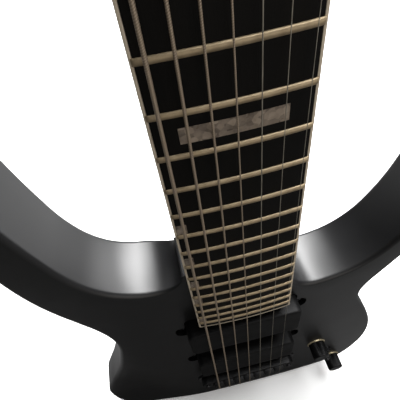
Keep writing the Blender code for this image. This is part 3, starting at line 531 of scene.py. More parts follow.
def plate(name, outline, thick, matrix, material=None, edge=0.0, edge_steps=3):
    """A flat plate from a closed list of (x, y), thick about its own z = 0."""
    curve = bpy.data.curves.new(name, "CURVE")
    curve.dimensions = "2D"
    curve.fill_mode = "BOTH"
    curve.extrude = thick / 2.0 - edge
    curve.bevel_depth = edge
    curve.bevel_resolution = edge_steps
    curve.offset = -edge
    spline = add_spline(curve, [(x, y, 0.0) for x, y in outline])
    spline.use_cyclic_u = True
    bm = bmesh.new()
    bm.from_mesh(mesh_of(curve))
    bmesh.ops.remove_doubles(bm, verts=bm.verts, dist=1e-6)
    bmesh.ops.dissolve_degenerate(bm, edges=bm.edges, dist=1e-6)
    return put(from_bmesh(name, bm, material), matrix)


def loft(name, rings, material=None):
    """A closed skin through rings that all have the same number of points."""
    bm = bmesh.new()
    made = [[bm.verts.new(p) for p in ring] for ring in rings]
    count = len(rings[0])
    for low, high in zip(made, made[1:]):
        for i in range(count):
            j = (i + 1) % count
            bm.faces.new((low[i], low[j], high[j], high[i]))
    bm.faces.new(made[0])
    bm.faces.new(reversed(made[-1]))
    return from_bmesh(name, bm, material)


def wire(name, points, radius, material):
    curve = bpy.data.curves.new(name, "CURVE")
    curve.dimensions = "3D"
    curve.bevel_depth = radius
    curve.bevel_resolution = 4
    curve.use_fill_caps = True
    add_spline(curve, points)
    return add(name, mesh_of(curve), material)


# Shapes of the neck and strings

def board_half_width(distance):
    growth = (LAST_FRET_WIDTH - NUT_WIDTH) / LAST_FRET
    return (NUT_WIDTH + growth * distance) / 2.0


def crown(x, half_width):
    """Height of the arched playing surface at x over its own edges."""
    return (half_width ** 2 - x ** 2) / (2.0 * BOARD_RADIUS)


def board_y(x, distance):
    return -BOARD_THICK - crown(x, board_half_width(distance))


def smooth(value, low, high):
    t = min(1.0, max(0.0, (value - low) / (high - low)))
    return t * t * (3.0 - 2.0 * t)


def string_x(index, span):
    return span * (index / (STRING_COUNT - 1) - 0.5)


def string_at_nut(index):
    x = string_x(index, STRING_SPAN_NUT)
    rise = crown(x, NUT_WIDTH / 2) + ACTION_NUT + STRING_GAUGES[index] / 2
    return Vector((x, FRET_TOP_Y - rise, 0.0))


def saddle_distance(index):
    return SCALE_LENGTH + 0.0004 + 0.0016 * STRING_GAUGES[index] / STRING_GAUGES[0] * 2.0


def string_at_bridge(index):
    x = string_x(index, STRING_SPAN_BRIDGE)
    arch = crown(x, STRING_SPAN_BRIDGE / 2)
    rise = arch + ACTION_BRIDGE + STRING_GAUGES[index] / 2
    return Vector((x, FRET_TOP_Y - rise, -saddle_distance(index)))


# Body

def catmull_rom(points, steps):
    made = []
    count = len(points)
    for i in range(count):
        p0, p1, p2, p3 = (Vector(points[(i + k) % count]) for k in (-1, 0, 1, 2))
        for s in range(steps):
            t = s / steps
            made.append(0.5 * (2 * p1 + (p2 - p0) * t + (2 * p0 - 5 * p1 + 4 * p2 - p3) * t * t
                               + (3 * p1 - p0 - 3 * p2 + p3) * t ** 3))
    return made


def forearm_depth(x, distance):
    """How far the face is carved away on the bass side of the lower bout."""
    start = Vector((-0.096, BRIDGE_D - 0.105))
    end = Vector((-0.050, BRIDGE_D + 0.092))
    along = (end - start).normalized()
    outward = Vector((-along.y, along.x))
    reach = (Vector((x, distance)) - start).dot(outward)
    fade = 1.0 - 0.75 * smooth(distance - BRIDGE_D, 0.040, 0.095)
    return 0.0135 * smooth(reach, -0.004, 0.066) * fade


def belly_depth(x, distance):
    """How far the back is carved away at the bass side of the waist."""
    across = smooth(-x, 0.045, 0.115)
    past = distance - BRIDGE_D
    along = smooth(past, -0.195, -0.135) * (1.0 - smooth(past, -0.105, -0.040))
    return 0.011 * across * along


def heel_depth(x, distance):
    """How far the back is carved away where the neck joins; it eases off past the neck's sides."""
    beside = min(max(abs(x) - 0.034, 0.0) / HEEL_CARVE_SPREAD, 1.0)
    along = 1.0 - smooth(distance, HEEL_D, HEEL_D + HEEL_CARVE_LENGTH)
    return HEEL_CARVE * (1.0 - beside) ** 2 * along


def front_y(x, distance):
    return FACE_Y + forearm_depth(x, distance)


def back_y(x, distance):
    return BACK_Y - belly_depth(x, distance) - heel_depth(x, distance)


def edge_radius(x, distance):
    """The edge is rounded all round, but square where the neck butts on."""
    beside_neck = smooth(max(abs(x) - 0.032, distance - HEEL_D), 0.002, 0.012)
    return 0.0004 + (EDGE_RADIUS - 0.0004) * beside_neck


def inset_ring(outline, amounts):
    made = []
    count = len(outline)
    for i, point in enumerate(outline):
        run = outline[(i + 1) % count] - outline[i - 1]
        inward = Vector((run.y, -run.x)).normalized()
        made.append(point + inward * amounts[i])
    return made


def bend_radius(outline, i):
    """Radius of the outline where it turns inward; large on a straight run."""
    before = outline[i] - outline[i - 1]
    after = outline[(i + 1) % len(outline)] - outline[i]
    turn = -before.angle_signed(after, 0.0)
    length = (before.length + after.length) / 2.0
    return length / abs(turn) if abs(turn) > 0.01 else 1.0


def signed_area(points):
    return 0.5 * sum(a.x * b.y - b.x * a.y for a, b in zip(points, points[1:] + points[:1]))


def inside(point, outline):
    hit = False
    for a, b in zip(outline, outline[1:] + outline[:1]):
        if (a.y > point.y) != (b.y > point.y):
            if point.x < a.x + (point.y - a.y) / (b.y - a.y) * (b.x - a.x):
                hit = not hit
    return hit


def nearest(point, outline):
    return min((point - other).length for other in outline)


def surface_points(ring, pitch):
    xs = [p.x for p in ring]
    ys = [p.y for p in ring]
    made = []
    for i in range(int((max(xs) - min(xs)) / pitch) + 1):
        for j in range(int((max(ys) - min(ys)) / pitch) + 1):
            shift = 0.5 * pitch if i % 2 else 0.0
            point = Vector((min(xs) + i * pitch, min(ys) + j * pitch + shift))
            if inside(point, ring) and nearest(point, ring) > 0.45 * pitch:
                made.append(point)
    return made


def edge_radii(outline):
    """Edge radius at each point, eased where the outline turns tightly."""
    count = len(outline)
    radii = [min(edge_radius(p.x, p.y), 0.65 * bend_radius(outline, i)) for i, p in enumerate(outline)]
    reach = range(-OUTLINE_STEPS, OUTLINE_STEPS + 1)
    low = [min(radii[(i + k) % count] for k in reach) for i in range(count)]
    return [sum(low[(i + k) % count] for k in reach) / len(reach) for i in range(count)]


def carved_slab(name, outline, pitch, material):
    """The body blank: two carved faces, a side wall and rounded edges."""
    if signed_area(outline) > 0.0:
        outline = outline[::-1]
    radii = edge_radii(outline)
    count = len(radii)
    bm = bmesh.new()
    sides = []
    for surface, side in ((front_y, 1.0), (back_y, -1.0)):
        stack = []
        for k in range(ROUND_STEPS + 1):
            angle = math.pi / 2 * k / ROUND_STEPS
            flat = inset_ring(outline, [r * (1.0 - math.cos(angle)) for r in radii])
            ring = []
            for point, r in zip(flat, radii):
                y = surface(point.x, point.y) + side * r * (1.0 - math.sin(angle))
                ring.append(bm.verts.new((point.x, y, -point.y)))
            stack.append(ring)
        sides.append((stack, flat, surface))
    front = sides[0][0]
    back = sides[1][0]
    bands = list(zip(front, front[1:])) + list(zip(back, back[1:])) + [(front[0], back[0])]
    for one, two in bands:
        for i in range(count):
            j = (i + 1) % count
            bm.faces.new((one[i], one[j], two[j], two[i]))
    for stack, flat, surface in sides:
        extra = surface_points(flat, pitch)
        edges = [(i, (i + 1) % count) for i in range(count)]
        cells = delaunay_2d_cdt(flat + extra, edges, [], 1, 1e-7)
        corners = list(stack[-1])
        for point in cells[0][count:]:
            corners.append(bm.verts.new((point.x, surface(point.x, point.y), -point.y)))
        for face in cells[2]:
            bm.faces.new([corners[i] for i in face])
    return from_bmesh(name, bm, material)


def upright(y):
    """Matrix that lays a plate drawn as (across, distance) at depth y."""
    return Matrix(((1, 0, 0, 0), (0, 0, 1, y), (0, -1, 0, 0), (0, 0, 0, 1)))


def slab(name, outline, front, back, material=None, edge=0.0, edge_steps=3):
    """A plate between two depths, from an outline drawn as (across, distance)."""
    return plate(name, outline, back - front, upright((front + back) / 2), material, edge, edge_steps)


def rounded_box_outline(cx, cd, width, length, radius, steps=8):
    made = []
    for corner in range(4):
        sx = (1, -1, -1, 1)[corner]
        sd = (1, 1, -1, -1)[corner]
        for k in range(steps + 1):
            angle = math.pi / 2 * (corner + k / steps)
            made.append((cx + sx * (width / 2 - radius) + radius * math.cos(angle),
                         cd + sd * (length / 2 - radius) + radius * math.sin(angle)))
    return made


def grow_outline(points, amount):
    ring = [Vector(p) for p in points]
    if signed_area(ring) > 0.0:
        ring = ring[::-1]
    return [tuple(p) for p in inset_ring(ring, [-amount] * len(ring))]


CAVITY_OUTLINE = [tuple(p) for p in catmull_rom(
    [(x * MM, BRIDGE_D + d * MM) for x, d in CAVITY_POINTS], 5)]


def pickup_outlines(distance, extra):
    cover = rounded_box_outline(0, distance, PICKUP_LENGTH + 2 * extra,
                                PICKUP_WIDTH + 2 * extra, 0.005 + extra)
    ears = rounded_box_outline(0, distance, EAR_SPAN + 2 * extra,
                               EAR_WIDTH + 2 * extra, 0.0055 + extra)
    return cover, ears


def cut_pickup_rout(body, label, distance):
    cover, ears = pickup_outlines(distance, ROUT_CLEAR)
    depth = ROUT_DEPTH + OVERCUT
    middle = upright(FACE_Y + ROUT_DEPTH - depth / 2)
    cut(body, plate(label + "_rout", cover, depth, middle),
        plate(label + "_ear_rout", ears, depth - 0.0005, middle))


def body_outline():
    outline = catmull_rom([(x * MM, BRIDGE_D + d * MM) for x, d in BODY_OUTLINE], OUTLINE_STEPS)
    for point in outline:
        if abs(point.x) < 0.036:
            point.y = max(point.y, HEEL_D)
    return outline


def make_body():
    body = carved_slab("body_shell", body_outline(), SURFACE_GRID, BODY_FINISH)
    slot = []
    for distance in (HEEL_D - 0.006, BOARD_END + GAP):
        half = board_half_width(distance) + SNUG
        slot.append([(-half, -0.010, -distance), (half, -0.010, -distance),
                     (half, SLOT_FLOOR_Y + SNUG, -distance), (-half, SLOT_FLOOR_Y + SNUG, -distance)])
    cut(body, loft("neck_slot", slot))
    cut_pickup_rout(body, "neck_pickup", NECK_PICKUP_D)
    cut_pickup_rout(body, "bridge_pickup", BRIDGE_PICKUP_D)
    cover = grow_outline(CAVITY_OUTLINE, COVER_LIP + GAP)
    cut(body, slab("control_cavity", CAVITY_OUTLINE, CAVITY_FLOOR_Y, BACK_Y + OVERCUT),
        slab("cover_recess", cover, BACK_Y - COVER_THICK, BACK_Y - COVER_THICK + 2 * OVERCUT))
    for label, (x, d), radius in (("volume_hole", VOLUME_AT, 0.0040), ("tone_hole", TONE_AT, 0.0040),
                                  ("switch_hole", SWITCH_AT, 0.0062)):
        cut(body, rod(label, radius, -0.016, 0.006, (x, FACE_Y, -d)))
    x, y, d = JACK_AT
    bore = mm((0, 6), (10, 6), (10, -2.4), (6.2, -2.4), (6.2, -40), (0, -40))
    cut(body, lathe("jack_hole", bore, (x, y, -d), axis="+X"))
    for sign, label in SIDES:
        cut(body, rod(label + "_post_hole", 0.0042, -0.026, 0.004,
                      (sign * POST_HALF_SPAN, FACE_Y, -BRIDGE_D)))
    for i in range(STRING_COUNT):
        shoulder = -BODY_THICK + 0.009
        cut(body, lathe(f"string_hole_{i}", [
            (0.0, 0.003), (0.0015, 0.003), (0.0015, shoulder), (0.0040, shoulder),
            (0.0040, -BODY_THICK - 0.003), (0.0, -BODY_THICK - 0.003)],
            (string_x(i, STRING_SPAN_BRIDGE), FACE_Y, -ANCHOR_D), steps=20))
    dress(body, "body_finish", "body", angle=0.5)


# Neck, fretboard and headstock

def neck_depth(distance):
    plain = 0.0148 + 0.0014 * distance / 0.38
    at_heel = BACK_Y - HEEL_CARVE - 0.0005
    return plain + (at_heel - plain) * smooth(distance, HEEL_D - 0.049, HEEL_D + 0.004) ** 1.2


def neck_section(half, deep, squareness, distance, top=0.0, points=28):
    """Half-round section, flat on top; a higher squareness fills its corners."""
    lip = 0.0012
    ring = []
    for k in range(points + 1):
        angle = math.pi * k / points
        c = math.cos(angle)
        s = math.sin(angle)
        x = -math.copysign(abs(c) ** (2.0 / squareness), c) * half
        ring.append((x, top + lip + s ** (2.0 / squareness) * (deep - top - lip), -distance))
    return [(-half, top, -distance)] + ring + [(half, top, -distance)]


def neck_ring(distance):
    """Half-round along its run; it squares up towards the heel and towards the headstock."""
    squareness = NECK_ROUND + 1.6 * smooth(distance, HEEL_D - 0.037, HEEL_D)
    squareness += (NECK_AT_HEAD - NECK_ROUND) * (1.0 - smooth(distance, 0.0, HEAD_BLEND))
    return neck_section(board_half_width(max(distance, 0.0)), neck_depth(max(distance, 0.0)),
                        squareness, distance)


def head_matrix():
    """Headstock frame: x across, y along it away from the nut, z out of its face."""
    c = math.cos(HEAD_ANGLE)
    s = math.sin(HEAD_ANGLE)
    return Matrix(((1, 0, 0, 0), (0, s, -c, 0), (0, c, s, NUT_LENGTH), (0, 0, 0, 1)))


HEAD = head_matrix()


def on_head(x, h, out=0.0):
    """Matrix of a place on the headstock, out from its face."""
    return HEAD @ shift(x, h, out)


def post_place(index):
    """(side, distance along the headstock) of the tuner for a string."""
    if index < len(BASS_POSTS):
        return -1, BASS_POSTS[index]
    return 1, TREBLE_POSTS[STRING_COUNT - 1 - index]


def head_outline(steps=5):
    """Smooth from one corner at the nut round to the other, where it ends square."""
    half = mm(*HEAD_SIDE)
    half = [(half[0][0], half[0][1] - 8 * MM)] + half
    around = catmull_rom(half + [(-x, h) for x, h in reversed(half)], steps)
    return [tuple(p) for p in around[steps:2 * steps * len(HEAD_SIDE) + 1]]


def make_neck():
    tucked = neck_section(NUT_WIDTH * 0.485, neck_depth(0.0) - 0.0006, NECK_AT_HEAD,
                          -NUT_LENGTH - 0.004, 0.0014)
    stations = [-NUT_LENGTH] + [HEEL_D * k / 12 for k in range(10)]
    stations += [HEEL_D * 0.80 + (HEEL_D * 0.20 - GAP) * k / 16 for k in range(17)]
    rings = [tucked] + [neck_ring(d) for d in stations]
    for distance in (HEEL_D, BOARD_END):
        rings.append(neck_section(board_half_width(distance), SLOT_FLOOR_Y, 9.0, distance))
    neck = loft("neck_shaft", rings, NECK_FINISH)
    join(neck, plate("headstock_blank", head_outline(), HEAD_THICK, on_head(0, 0, -HEAD_THICK / 2),
                     edge=0.0012))
    channel = HEEL_D + 0.015
    cut(neck, block("rod_channel", (ROD_WIDTH + 4 * SNUG, 0.022, channel),
                    (0, 0, NUT_LENGTH + 0.014 - channel / 2)))
    for i in range(STRING_COUNT):
        side, h = post_place(i)
        cut(neck, rod(f"tuner_hole_{i}", SLEEVE_RADIUS + SNUG, -HEAD_THICK - 0.003, 0.003,
                      on_head(side * POST_X, h), axis="+Z"))
    dress(neck, "neck_finish", "neck", angle=0.5)


def arch_row(left, right, distance, above, steps):
    """Points across the board's arched top, raised above it."""
    row = []
    for k in range(steps + 1):
        x = left + (right - left) * k / steps
        row.append((x, board_y(x, distance) - above, -distance))
    return row


def arched_ring(half, foot, distance, steps=14, above=0.0):
    """Section with a flat foot and the board's arched top, or that arch raised."""
    ends = [(half, foot, -distance), (-half, foot, -distance)]
    return ends + arch_row(-half, half, distance, above, steps)


def make_board():
    inner = BINDING_THICK + SNUG
    end = BOARD_END - inner
    rings = [arched_ring(board_half_width(d) - inner, -SNUG, d) for d in (0.0, 0.18, 0.36, end)]
    board = loft("fretboard_wood", rings, BOARD_WOOD)
    cut(board, loft("inlay_pocket", inlay_rings(SNUG, 0.001)))
    dress(board, "fretboard_wood", "fretboard")
    for number in range(1, FRET_COUNT + 1):
        make_fret(number)
    for number in MARKED_FRETS:
        make_marker(number)


def make_fret(number):
    """One fret: a domed wire bent to the board's arch, with rounded-over ends on the binding."""
    middle = fret_distance(number)
    full = board_half_width(middle) - 0.0006
    ends = [(1.0, 0.15), (0.992, 0.55), (0.975, 0.85), (0.95, 1.0)]
    places = [(-part, rise) for part, rise in ends]
    places += [(k / 5.0, 1.0) for k in range(-4, 5)]
    places += [(part, rise) for part, rise in reversed(ends)]
    rings = []
    for part, rise in places:
        x = part * full
        foot = board_y(x, middle)
        ring = []
        for k in range(9):
            angle = math.pi * k / 8
            ring.append((x, foot - FRET_HEIGHT * rise * math.sin(angle) ** 0.8,
                         -middle - math.cos(angle) * FRET_WIDTH / 2))
        ring.append((x, foot + 0.0003, -middle + FRET_WIDTH / 2))
        ring.append((x, foot + 0.0003, -middle - FRET_WIDTH / 2))
        rings.append(ring)
    dress(loft(f"fret_{number:02d}", rings, FRET_WIRE), "plain_steel", angle=1.0)


def make_marker(number):
    """Square pearl mark let into the board's bass edge just before a fret."""
    end = fret_distance(number) - FRET_WIDTH / 2 - 0.0002
    rings = []
    for distance in (end - MARKER_LENGTH, end):
        left = -board_half_width(distance) + BINDING_THICK + 2 * SNUG
        right = left + MARKER_WIDTH
        rings.append(arch_row(left, right, distance, 0.00004, 4)
                     + arch_row(left, right, distance, -0.0008, 4)[::-1])
    dress(loft(f"edge_marker_{number:02d}", rings, PEARL), "pearl")


def inlay_rings(margin, above):
    """Pearl block that lies just before the twelfth fret."""
    half = INLAY_HALF_WIDTH + margin
    foot = -BOARD_THICK + 0.0012 + margin
    end = fret_distance(12) - INLAY_TO_FRET
    return [arched_ring(half, foot, distance, 16, above)
            for distance in (end - INLAY_LENGTH - margin, end + margin)]


def make_board_trim():
    dress(loft("pearl_block", inlay_rings(0.0, 0.00003), PEARL), "pearl", "twelfth_fret_inlay")
    end_half = board_half_width(BOARD_END)
    nut_half = NUT_WIDTH / 2
    t = BINDING_THICK
    outline = [(-nut_half, 0), (-end_half, BOARD_END), (end_half, BOARD_END), (nut_half, 0),
               (nut_half - t, 0), (end_half - t, BOARD_END - t), (-end_half + t, BOARD_END - t),
               (-nut_half + t, 0)]
    thick = BOARD_THICK - SNUG
    binding = plate("binding_strip", outline, thick, upright(-SNUG - thick / 2), BINDING)
    dress(soften(binding, 0.0003, 3), "binding_plastic", "board_binding")
    cap = loft("binding_end_crown", binding_crown_rings(), BINDING)
    dress(cap, "binding_plastic")


def binding_crown_rings():
    """The strip across the board's end follows the arch above the flat strip."""
    return [arched_ring(board_half_width(distance) - 0.0004, -BOARD_THICK + 0.0002, distance)
            for distance in (BOARD_END - BINDING_THICK, BOARD_END)]


def make_nut():
    rings = []
    for part in range(5):
        z = GAP + (NUT_LENGTH - SNUG - GAP) * part / 4
        drop = 0.0008 * part / 4
        ring = [(NUT_WIDTH / 2, -SNUG, z), (-NUT_WIDTH / 2, -SNUG, z)]
        for k in range(17):
            x = NUT_WIDTH * (k / 16 - 0.5)
            ring.append((x, FRET_TOP_Y - crown(x, NUT_WIDTH / 2) - 0.0012 + drop, z))
        rings.append(ring)
    nut = loft("string_nut", rings, NUT_MATERIAL)
    soften(nut, 0.0003, 2, 1.0)
    for i in range(STRING_COUNT):
        at = string_at_nut(i)
        wide = STRING_GAUGES[i] + 2 * SNUG
        deep = 0.006
        slot = block(f"nut_slot_{i}", (wide, deep, 3 * NUT_LENGTH),
                     (at.x, at.y + (wide + NUT_FALL - deep) / 2 + SNUG, NUT_LENGTH / 2))
        slot.rotation_euler = (-math.atan(NUT_FALL / NUT_LENGTH), 0, 0)
        cut(nut, slot)
    dress(nut, "nut_material", "nut")


def make_truss_rod_cover():
    outline = mm((-10, 2), (10, 2), (9.4, 20), (6.2, 33), (2.2, 41), (-2.2, 41), (-6.2, 33), (-9.4, 20))
    cover = plate("rod_cover", outline, ROD_COVER_THICK, on_head(0, 0, ROD_COVER_THICK / 2 + SNUG),
                  BLACK_PLASTIC)
    dress(soften(cover, 0.0005), "black_plastic", "truss_rod_cover")
    for label, x, h in (("left", -0.0065, 0.0062), ("right", 0.0065, 0.0062), ("tip", 0.0, 0.0365)):
        screw("rod_cover_screw_" + label, 0.0016, on_head(x, h, ROD_COVER_THICK + SNUG))


def screw(name, radius, matrix):
    """Domed cross-head screw, its head's foot on the matrix's z = 0."""
    head = lathe(name, [(0.0, radius * 0.55), (radius * 0.45, radius * 0.50), (radius * 0.8, radius * 0.32),
                        (radius, 0.0), (radius * 0.5, -radius * 0.4), (0.0, -radius * 0.4)],
                 matrix, BLACK_NICKEL, "+Z", 20)
    for turn in (0.0, math.pi / 2):
        cut(head, block(name + "_cross", (radius * 1.1, radius * 0.22, radius * 0.7),
                        matrix @ shift(0, 0, radius * 0.5) @ Matrix.Rotation(turn, 4, "Z")))
    dress(head, "black_nickel")


# Strings

def wound_end(index, start):
    """Points from the nut to the post and round it, in the headstock frame."""
    side, h = post_place(index)
    steps = 40
    sweep = STRING_TURNS * math.tau
    radius = POST_RADIUS + STRING_GAUGES[index] / 2 + SNUG
    local = HEAD.inverted() @ start
    post = Vector((side * POST_X, h))
    gap = Vector((local.x, local.y)) - post
    lean = math.acos(radius / gap.length)
    facing = math.atan2(gap.y, gap.x)
    begin = facing + (lean if side < 0 else -lean)
    points = []
    for k in range(steps + 1):
        angle = begin - side * sweep * k / steps
        out = 0.0085 - STRING_TURNS * k / steps * (STRING_GAUGES[index] + 2 * GAP)
        along = post + radius * Vector((math.cos(angle), math.sin(angle)))
        points.append(HEAD @ Vector((along.x, along.y, out)))
    return points


def make_string(index):
    nut = string_at_nut(index)
    bridge = string_at_bridge(index)
    number = STRING_COUNT - index
    anchor = -ANCHOR_D
    slope = (bridge - nut).normalized()
    nut_back = Vector((nut.x, nut.y + NUT_FALL, NUT_LENGTH))
    points = [Vector((bridge.x, BACK_Y - 0.0085, anchor)), Vector((bridge.x, FACE_Y + 0.002, anchor)),
              Vector((bridge.x, FACE_Y - 0.0004, anchor + 0.0004)),
              bridge + slope * (STRING_BREAK_D - saddle_distance(index)), bridge - slope * SADDLE_CREST,
              nut + Vector((0, 0, GAP)), nut_back]
    points += wound_end(index, nut_back)
    wound = index < WOUND_STRINGS
    string = wire(f"string_wire_{number}", points, STRING_GAUGES[index] / 2,
                  WOUND_STRING if wound else PLAIN_STRING)
    dress(string, "wound_string" if wound else "plain_string", f"string_{number}", angle=1.0)
    turned(f"string_ferrule_{number}",
           mm((1.3, -1.6), (1.3, -0.3), (1.8, 0), (3.6, 0), (3.8, -0.2), (3.8, -1.6)),
           (bridge.x, BACK_Y - 0.0002, anchor), axis="+Y")
    turned(f"string_bushing_{number}",
           mm((1.4, -1), (1.4, 0.3), (1.8, 0.6), (2.6, 0.5), (3, 0), (3, -0.05), (1.45, -0.05), (1.45, -1)),
           (bridge.x, FACE_Y, anchor))


# Tuners

def make_tuner(index):
    side, h = post_place(index)
    number = STRING_COUNT - index
    base = on_head(side * POST_X, h)
    back = -HEAD_THICK - SNUG
    outward = Matrix.Identity(4) if side > 0 else Matrix.Rotation(math.pi, 4, "Z")
    shaft = base @ shift(0, WORM_OFFSET, back - WORM_DEPTH) @ outward
    make_housing(number, base, back, shaft)
    post = f"tuner_post_{number}"
    turned(f"string_post_{number}", [
        (0.0, 0.0128), (0.0018, 0.0128), (0.0026, 0.0124), (POST_RADIUS, 0.0116), (POST_RADIUS, 0.0095),
        (POST_RADIUS - 0.0002, 0.0088), (POST_RADIUS - 0.0002, 0.0060), (POST_RADIUS, 0.0052),
        (POST_RADIUS, back - 0.0040), (0.0045, back - 0.0040), (0.0045, back - 0.0070),
        (0.0, back - 0.0070)], base, post, axis="+Z", body=post)
    button = lathe(f"key_button_{number}", mm(
        (0, 30), (3, 29.9), (5.2, 29.3), (6.6, 28.1), (7.3, 26.2), (7.4, 24), (6.8, 22), (5.6, 20.6),
        (3.8, 19.8), (2.4, 19), (1.9, 17.8), (1.8, 15), (1.8, 6), (2.2, 5.5), (2.2, -4.5), (0, -4.5)),
        shaft, BLACK_NICKEL, "+X", 32)
    for vertex in button.data.vertices:
        share = smooth(vertex.co.x, 0.0180, 0.0215)
        vertex.co.y *= 1.0 + 0.22 * share
        vertex.co.z *= 1.0 - 0.28 * share
    dress(button, "black_nickel", f"tuner_button_{number}", body=f"tuner_button_{number}", angle=0.8)


def make_housing(number, base, back, shaft):
    """Rounded gear case with its threaded sleeve, front nut, shaft collar and fixing screw."""
    housing = block(f"gear_case_{number}", (0.0135, 0.0180, TUNER_DEPTH),
                    base @ shift(0, 0.0025, back - TUNER_DEPTH / 2), BLACK_NICKEL)
    soften(housing, 0.0016, 4)
    sleeve = lathe(f"case_sleeve_{number}", [
        (0.0, SNUG + 0.0022), (0.0048, SNUG + 0.0022), (0.0053, SNUG + 0.0019), (0.0062, SNUG + 0.0014),
        (0.0066, SNUG + 0.0010), (0.0066, SNUG), (SLEEVE_RADIUS, SNUG), (SLEEVE_RADIUS, back - 0.003),
        (0.0, back - 0.003)], base, axis="+Z", steps=40)
    bore = lathe(f"case_bore_{number}", [
        (0.0, 0.004), (POST_RADIUS + GAP, 0.004), (POST_RADIUS + GAP, back - 0.0030),
        (0.0053, back - 0.0030), (0.0053, back - 0.0085), (0.0, back - 0.0085)], base, axis="+Z")
    collar = lathe(f"shaft_collar_{number}", mm((0, 7.8), (3.2, 7.8), (3.6, 7.4), (3.6, 4), (0, 4)),
                   shaft, axis="+X")
    way = rod(f"case_way_{number}", 0.0026, -0.0052, 0.012, shaft, axis="+X")
    join(housing, sleeve, collar)
    cut(housing, bore, way)
    dress(housing, "black_nickel", f"tuner_housing_{number}", angle=0.5)
    screw(f"case_screw_{number}", 0.0019, base @ shift(0, -0.0028, back - TUNER_DEPTH) @ TURNS["-Z"])


# Pickups and bridge

def make_pickup(name, distance):
    cover, ears = pickup_outlines(distance, 0.0)
    shell = slab(name + "_shell", cover, PICKUP_TOP_Y, PICKUP_FOOT_Y, PICKUP_PLASTIC, 0.0014, 4)
    join(shell, slab(name + "_ears", ears, EARS_Y, EARS_Y + EARS_THICK))
    dress(shell, "pickup_plastic", name, body=name, angle=0.5)
    for sign, label in SIDES:
        x = sign * (EAR_SPAN + PICKUP_LENGTH) / 4
        turned(f"{name}_screw_{label}", mm(
            (0.9, 4.5), (1.6, 4.5), (2.4, 4.2), (2.6, 3.4), (2.6, 2.4), (1.4, 2.2), (1.4, 0), (0, 0),
            (0, 3), (0.9, 3)), (x, EARS_Y, -distance), steps=24, body=name)


def make_bridge():
    outline = rounded_box_outline(0, BRIDGE_D, BAR_LENGTH, BAR_WIDTH, 0.0060, 10)
    bar = slab("bridge_bar", outline, BAR_TOP_Y, BAR_FOOT_Y, BRIDGE_METAL, 0.0009, 4)
    half = SADDLE_PITCH * STRING_COUNT / 2 + GAP
    trough_tall = TROUGH_FLOOR_Y - BAR_TOP_Y + 0.003
    cut(bar, block("bridge_trough", (2 * half, trough_tall, TROUGH_LENGTH),
                   (0, TROUGH_FLOOR_Y - trough_tall / 2, -BRIDGE_D)))
    for sign, label in SIDES:
        at = (sign * POST_HALF_SPAN, 0, -BRIDGE_D)
        cut(bar, rod(label + "_post_bore", 0.0027, 0.0, 0.012, at))
        make_bridge_post(label, at)
    dress(bar, "black_nickel", "bridge", angle=0.5)


def make_bridge_post(label, at):
    """Threaded post with a knurled height wheel and a slotted end."""
    post = lathe("height_post_" + label, [
        (0.0, 0.0102), (0.0020, 0.0102), (0.0024, 0.0098), (0.0024, -BAR_FOOT_Y - GAP),
        (0.0080, -BAR_FOOT_Y - GAP), (WHEEL_RADIUS, 0.0010), (WHEEL_RADIUS, -0.0004), (0.0080, -0.0010),
        (0.0039, -0.0010), (0.0039, -0.0280), (0.0030, -0.0290), (0.0, -0.0290)],
        at, BLACK_NICKEL, steps=72)
    knurled(post, 36, 0.035 * WHEEL_RADIUS, WHEEL_RADIUS)
    slot = block("post_slot_" + label, (0.0060, 0.0016, 0.0009), (at[0], -0.0102, at[2]))
    cut(post, slot)
    dress(post, "black_nickel", "bridge_post_" + label, angle=0.5)


def make_saddle(index):
    """Saddle with a rounded crest, a string notch and its intonation screw."""
    at = string_at_bridge(index)
    number = STRING_COUNT - index
    top = at.y + STRING_GAUGES[index] / 2 + SNUG
    wide = SADDLE_PITCH - 2 * GAP
    low = TROUGH_FLOOR_Y - SNUG
    shoulder = BAR_TOP_Y + 0.0006
    half = SADDLE_LENGTH / 2
    crest = [(-half, shoulder), (-SADDLE_CREST - 0.0006, top + 0.0010), (-SADDLE_CREST, top + 0.0002),
             (-0.0003, top), (0.0003, top), (SADDLE_CREST, top + 0.0002),
             (SADDLE_CREST + 0.0006, top + 0.0010), (half, shoulder)]
    rings = []
    for x in (-wide / 2, wide / 2):
        rings.append([(x, low, half), (x, low, -half)] + [(x, y, z) for z, y in crest])
    saddle = loft(f"saddle_block_{number}", rings, BRIDGE_METAL)
    saddle.location = (at.x, 0, at.z)
    dress(soften(saddle, 0.00025, 2, 0.9), "black_nickel", f"saddle_{number}", body=f"saddle_{number}")
    reach = TROUGH_LENGTH / 2 + 0.0012
    spindle = rod(f"saddle_screw_{number}", 0.0009, 0.0, at.z - SADDLE_LENGTH / 2 + BRIDGE_D + reach,
                  (at.x, -0.0062, -BRIDGE_D - reach), BRIDGE_METAL, "+Z", 14)
    dress(spindle, "black_nickel")


# Controls, jack, cover and strap buttons

def knurled(obj, count, depth, radius):
    for vertex in obj.data.vertices:
        reach = math.hypot(vertex.co.x, vertex.co.z)
        if abs(reach - radius) < 0.00012:
            turn = math.atan2(vertex.co.z, vertex.co.x)
            dip = 1.0 - depth / radius * (0.5 + 0.5 * math.cos(turn * count))
            vertex.co.x *= dip
            vertex.co.z *= dip


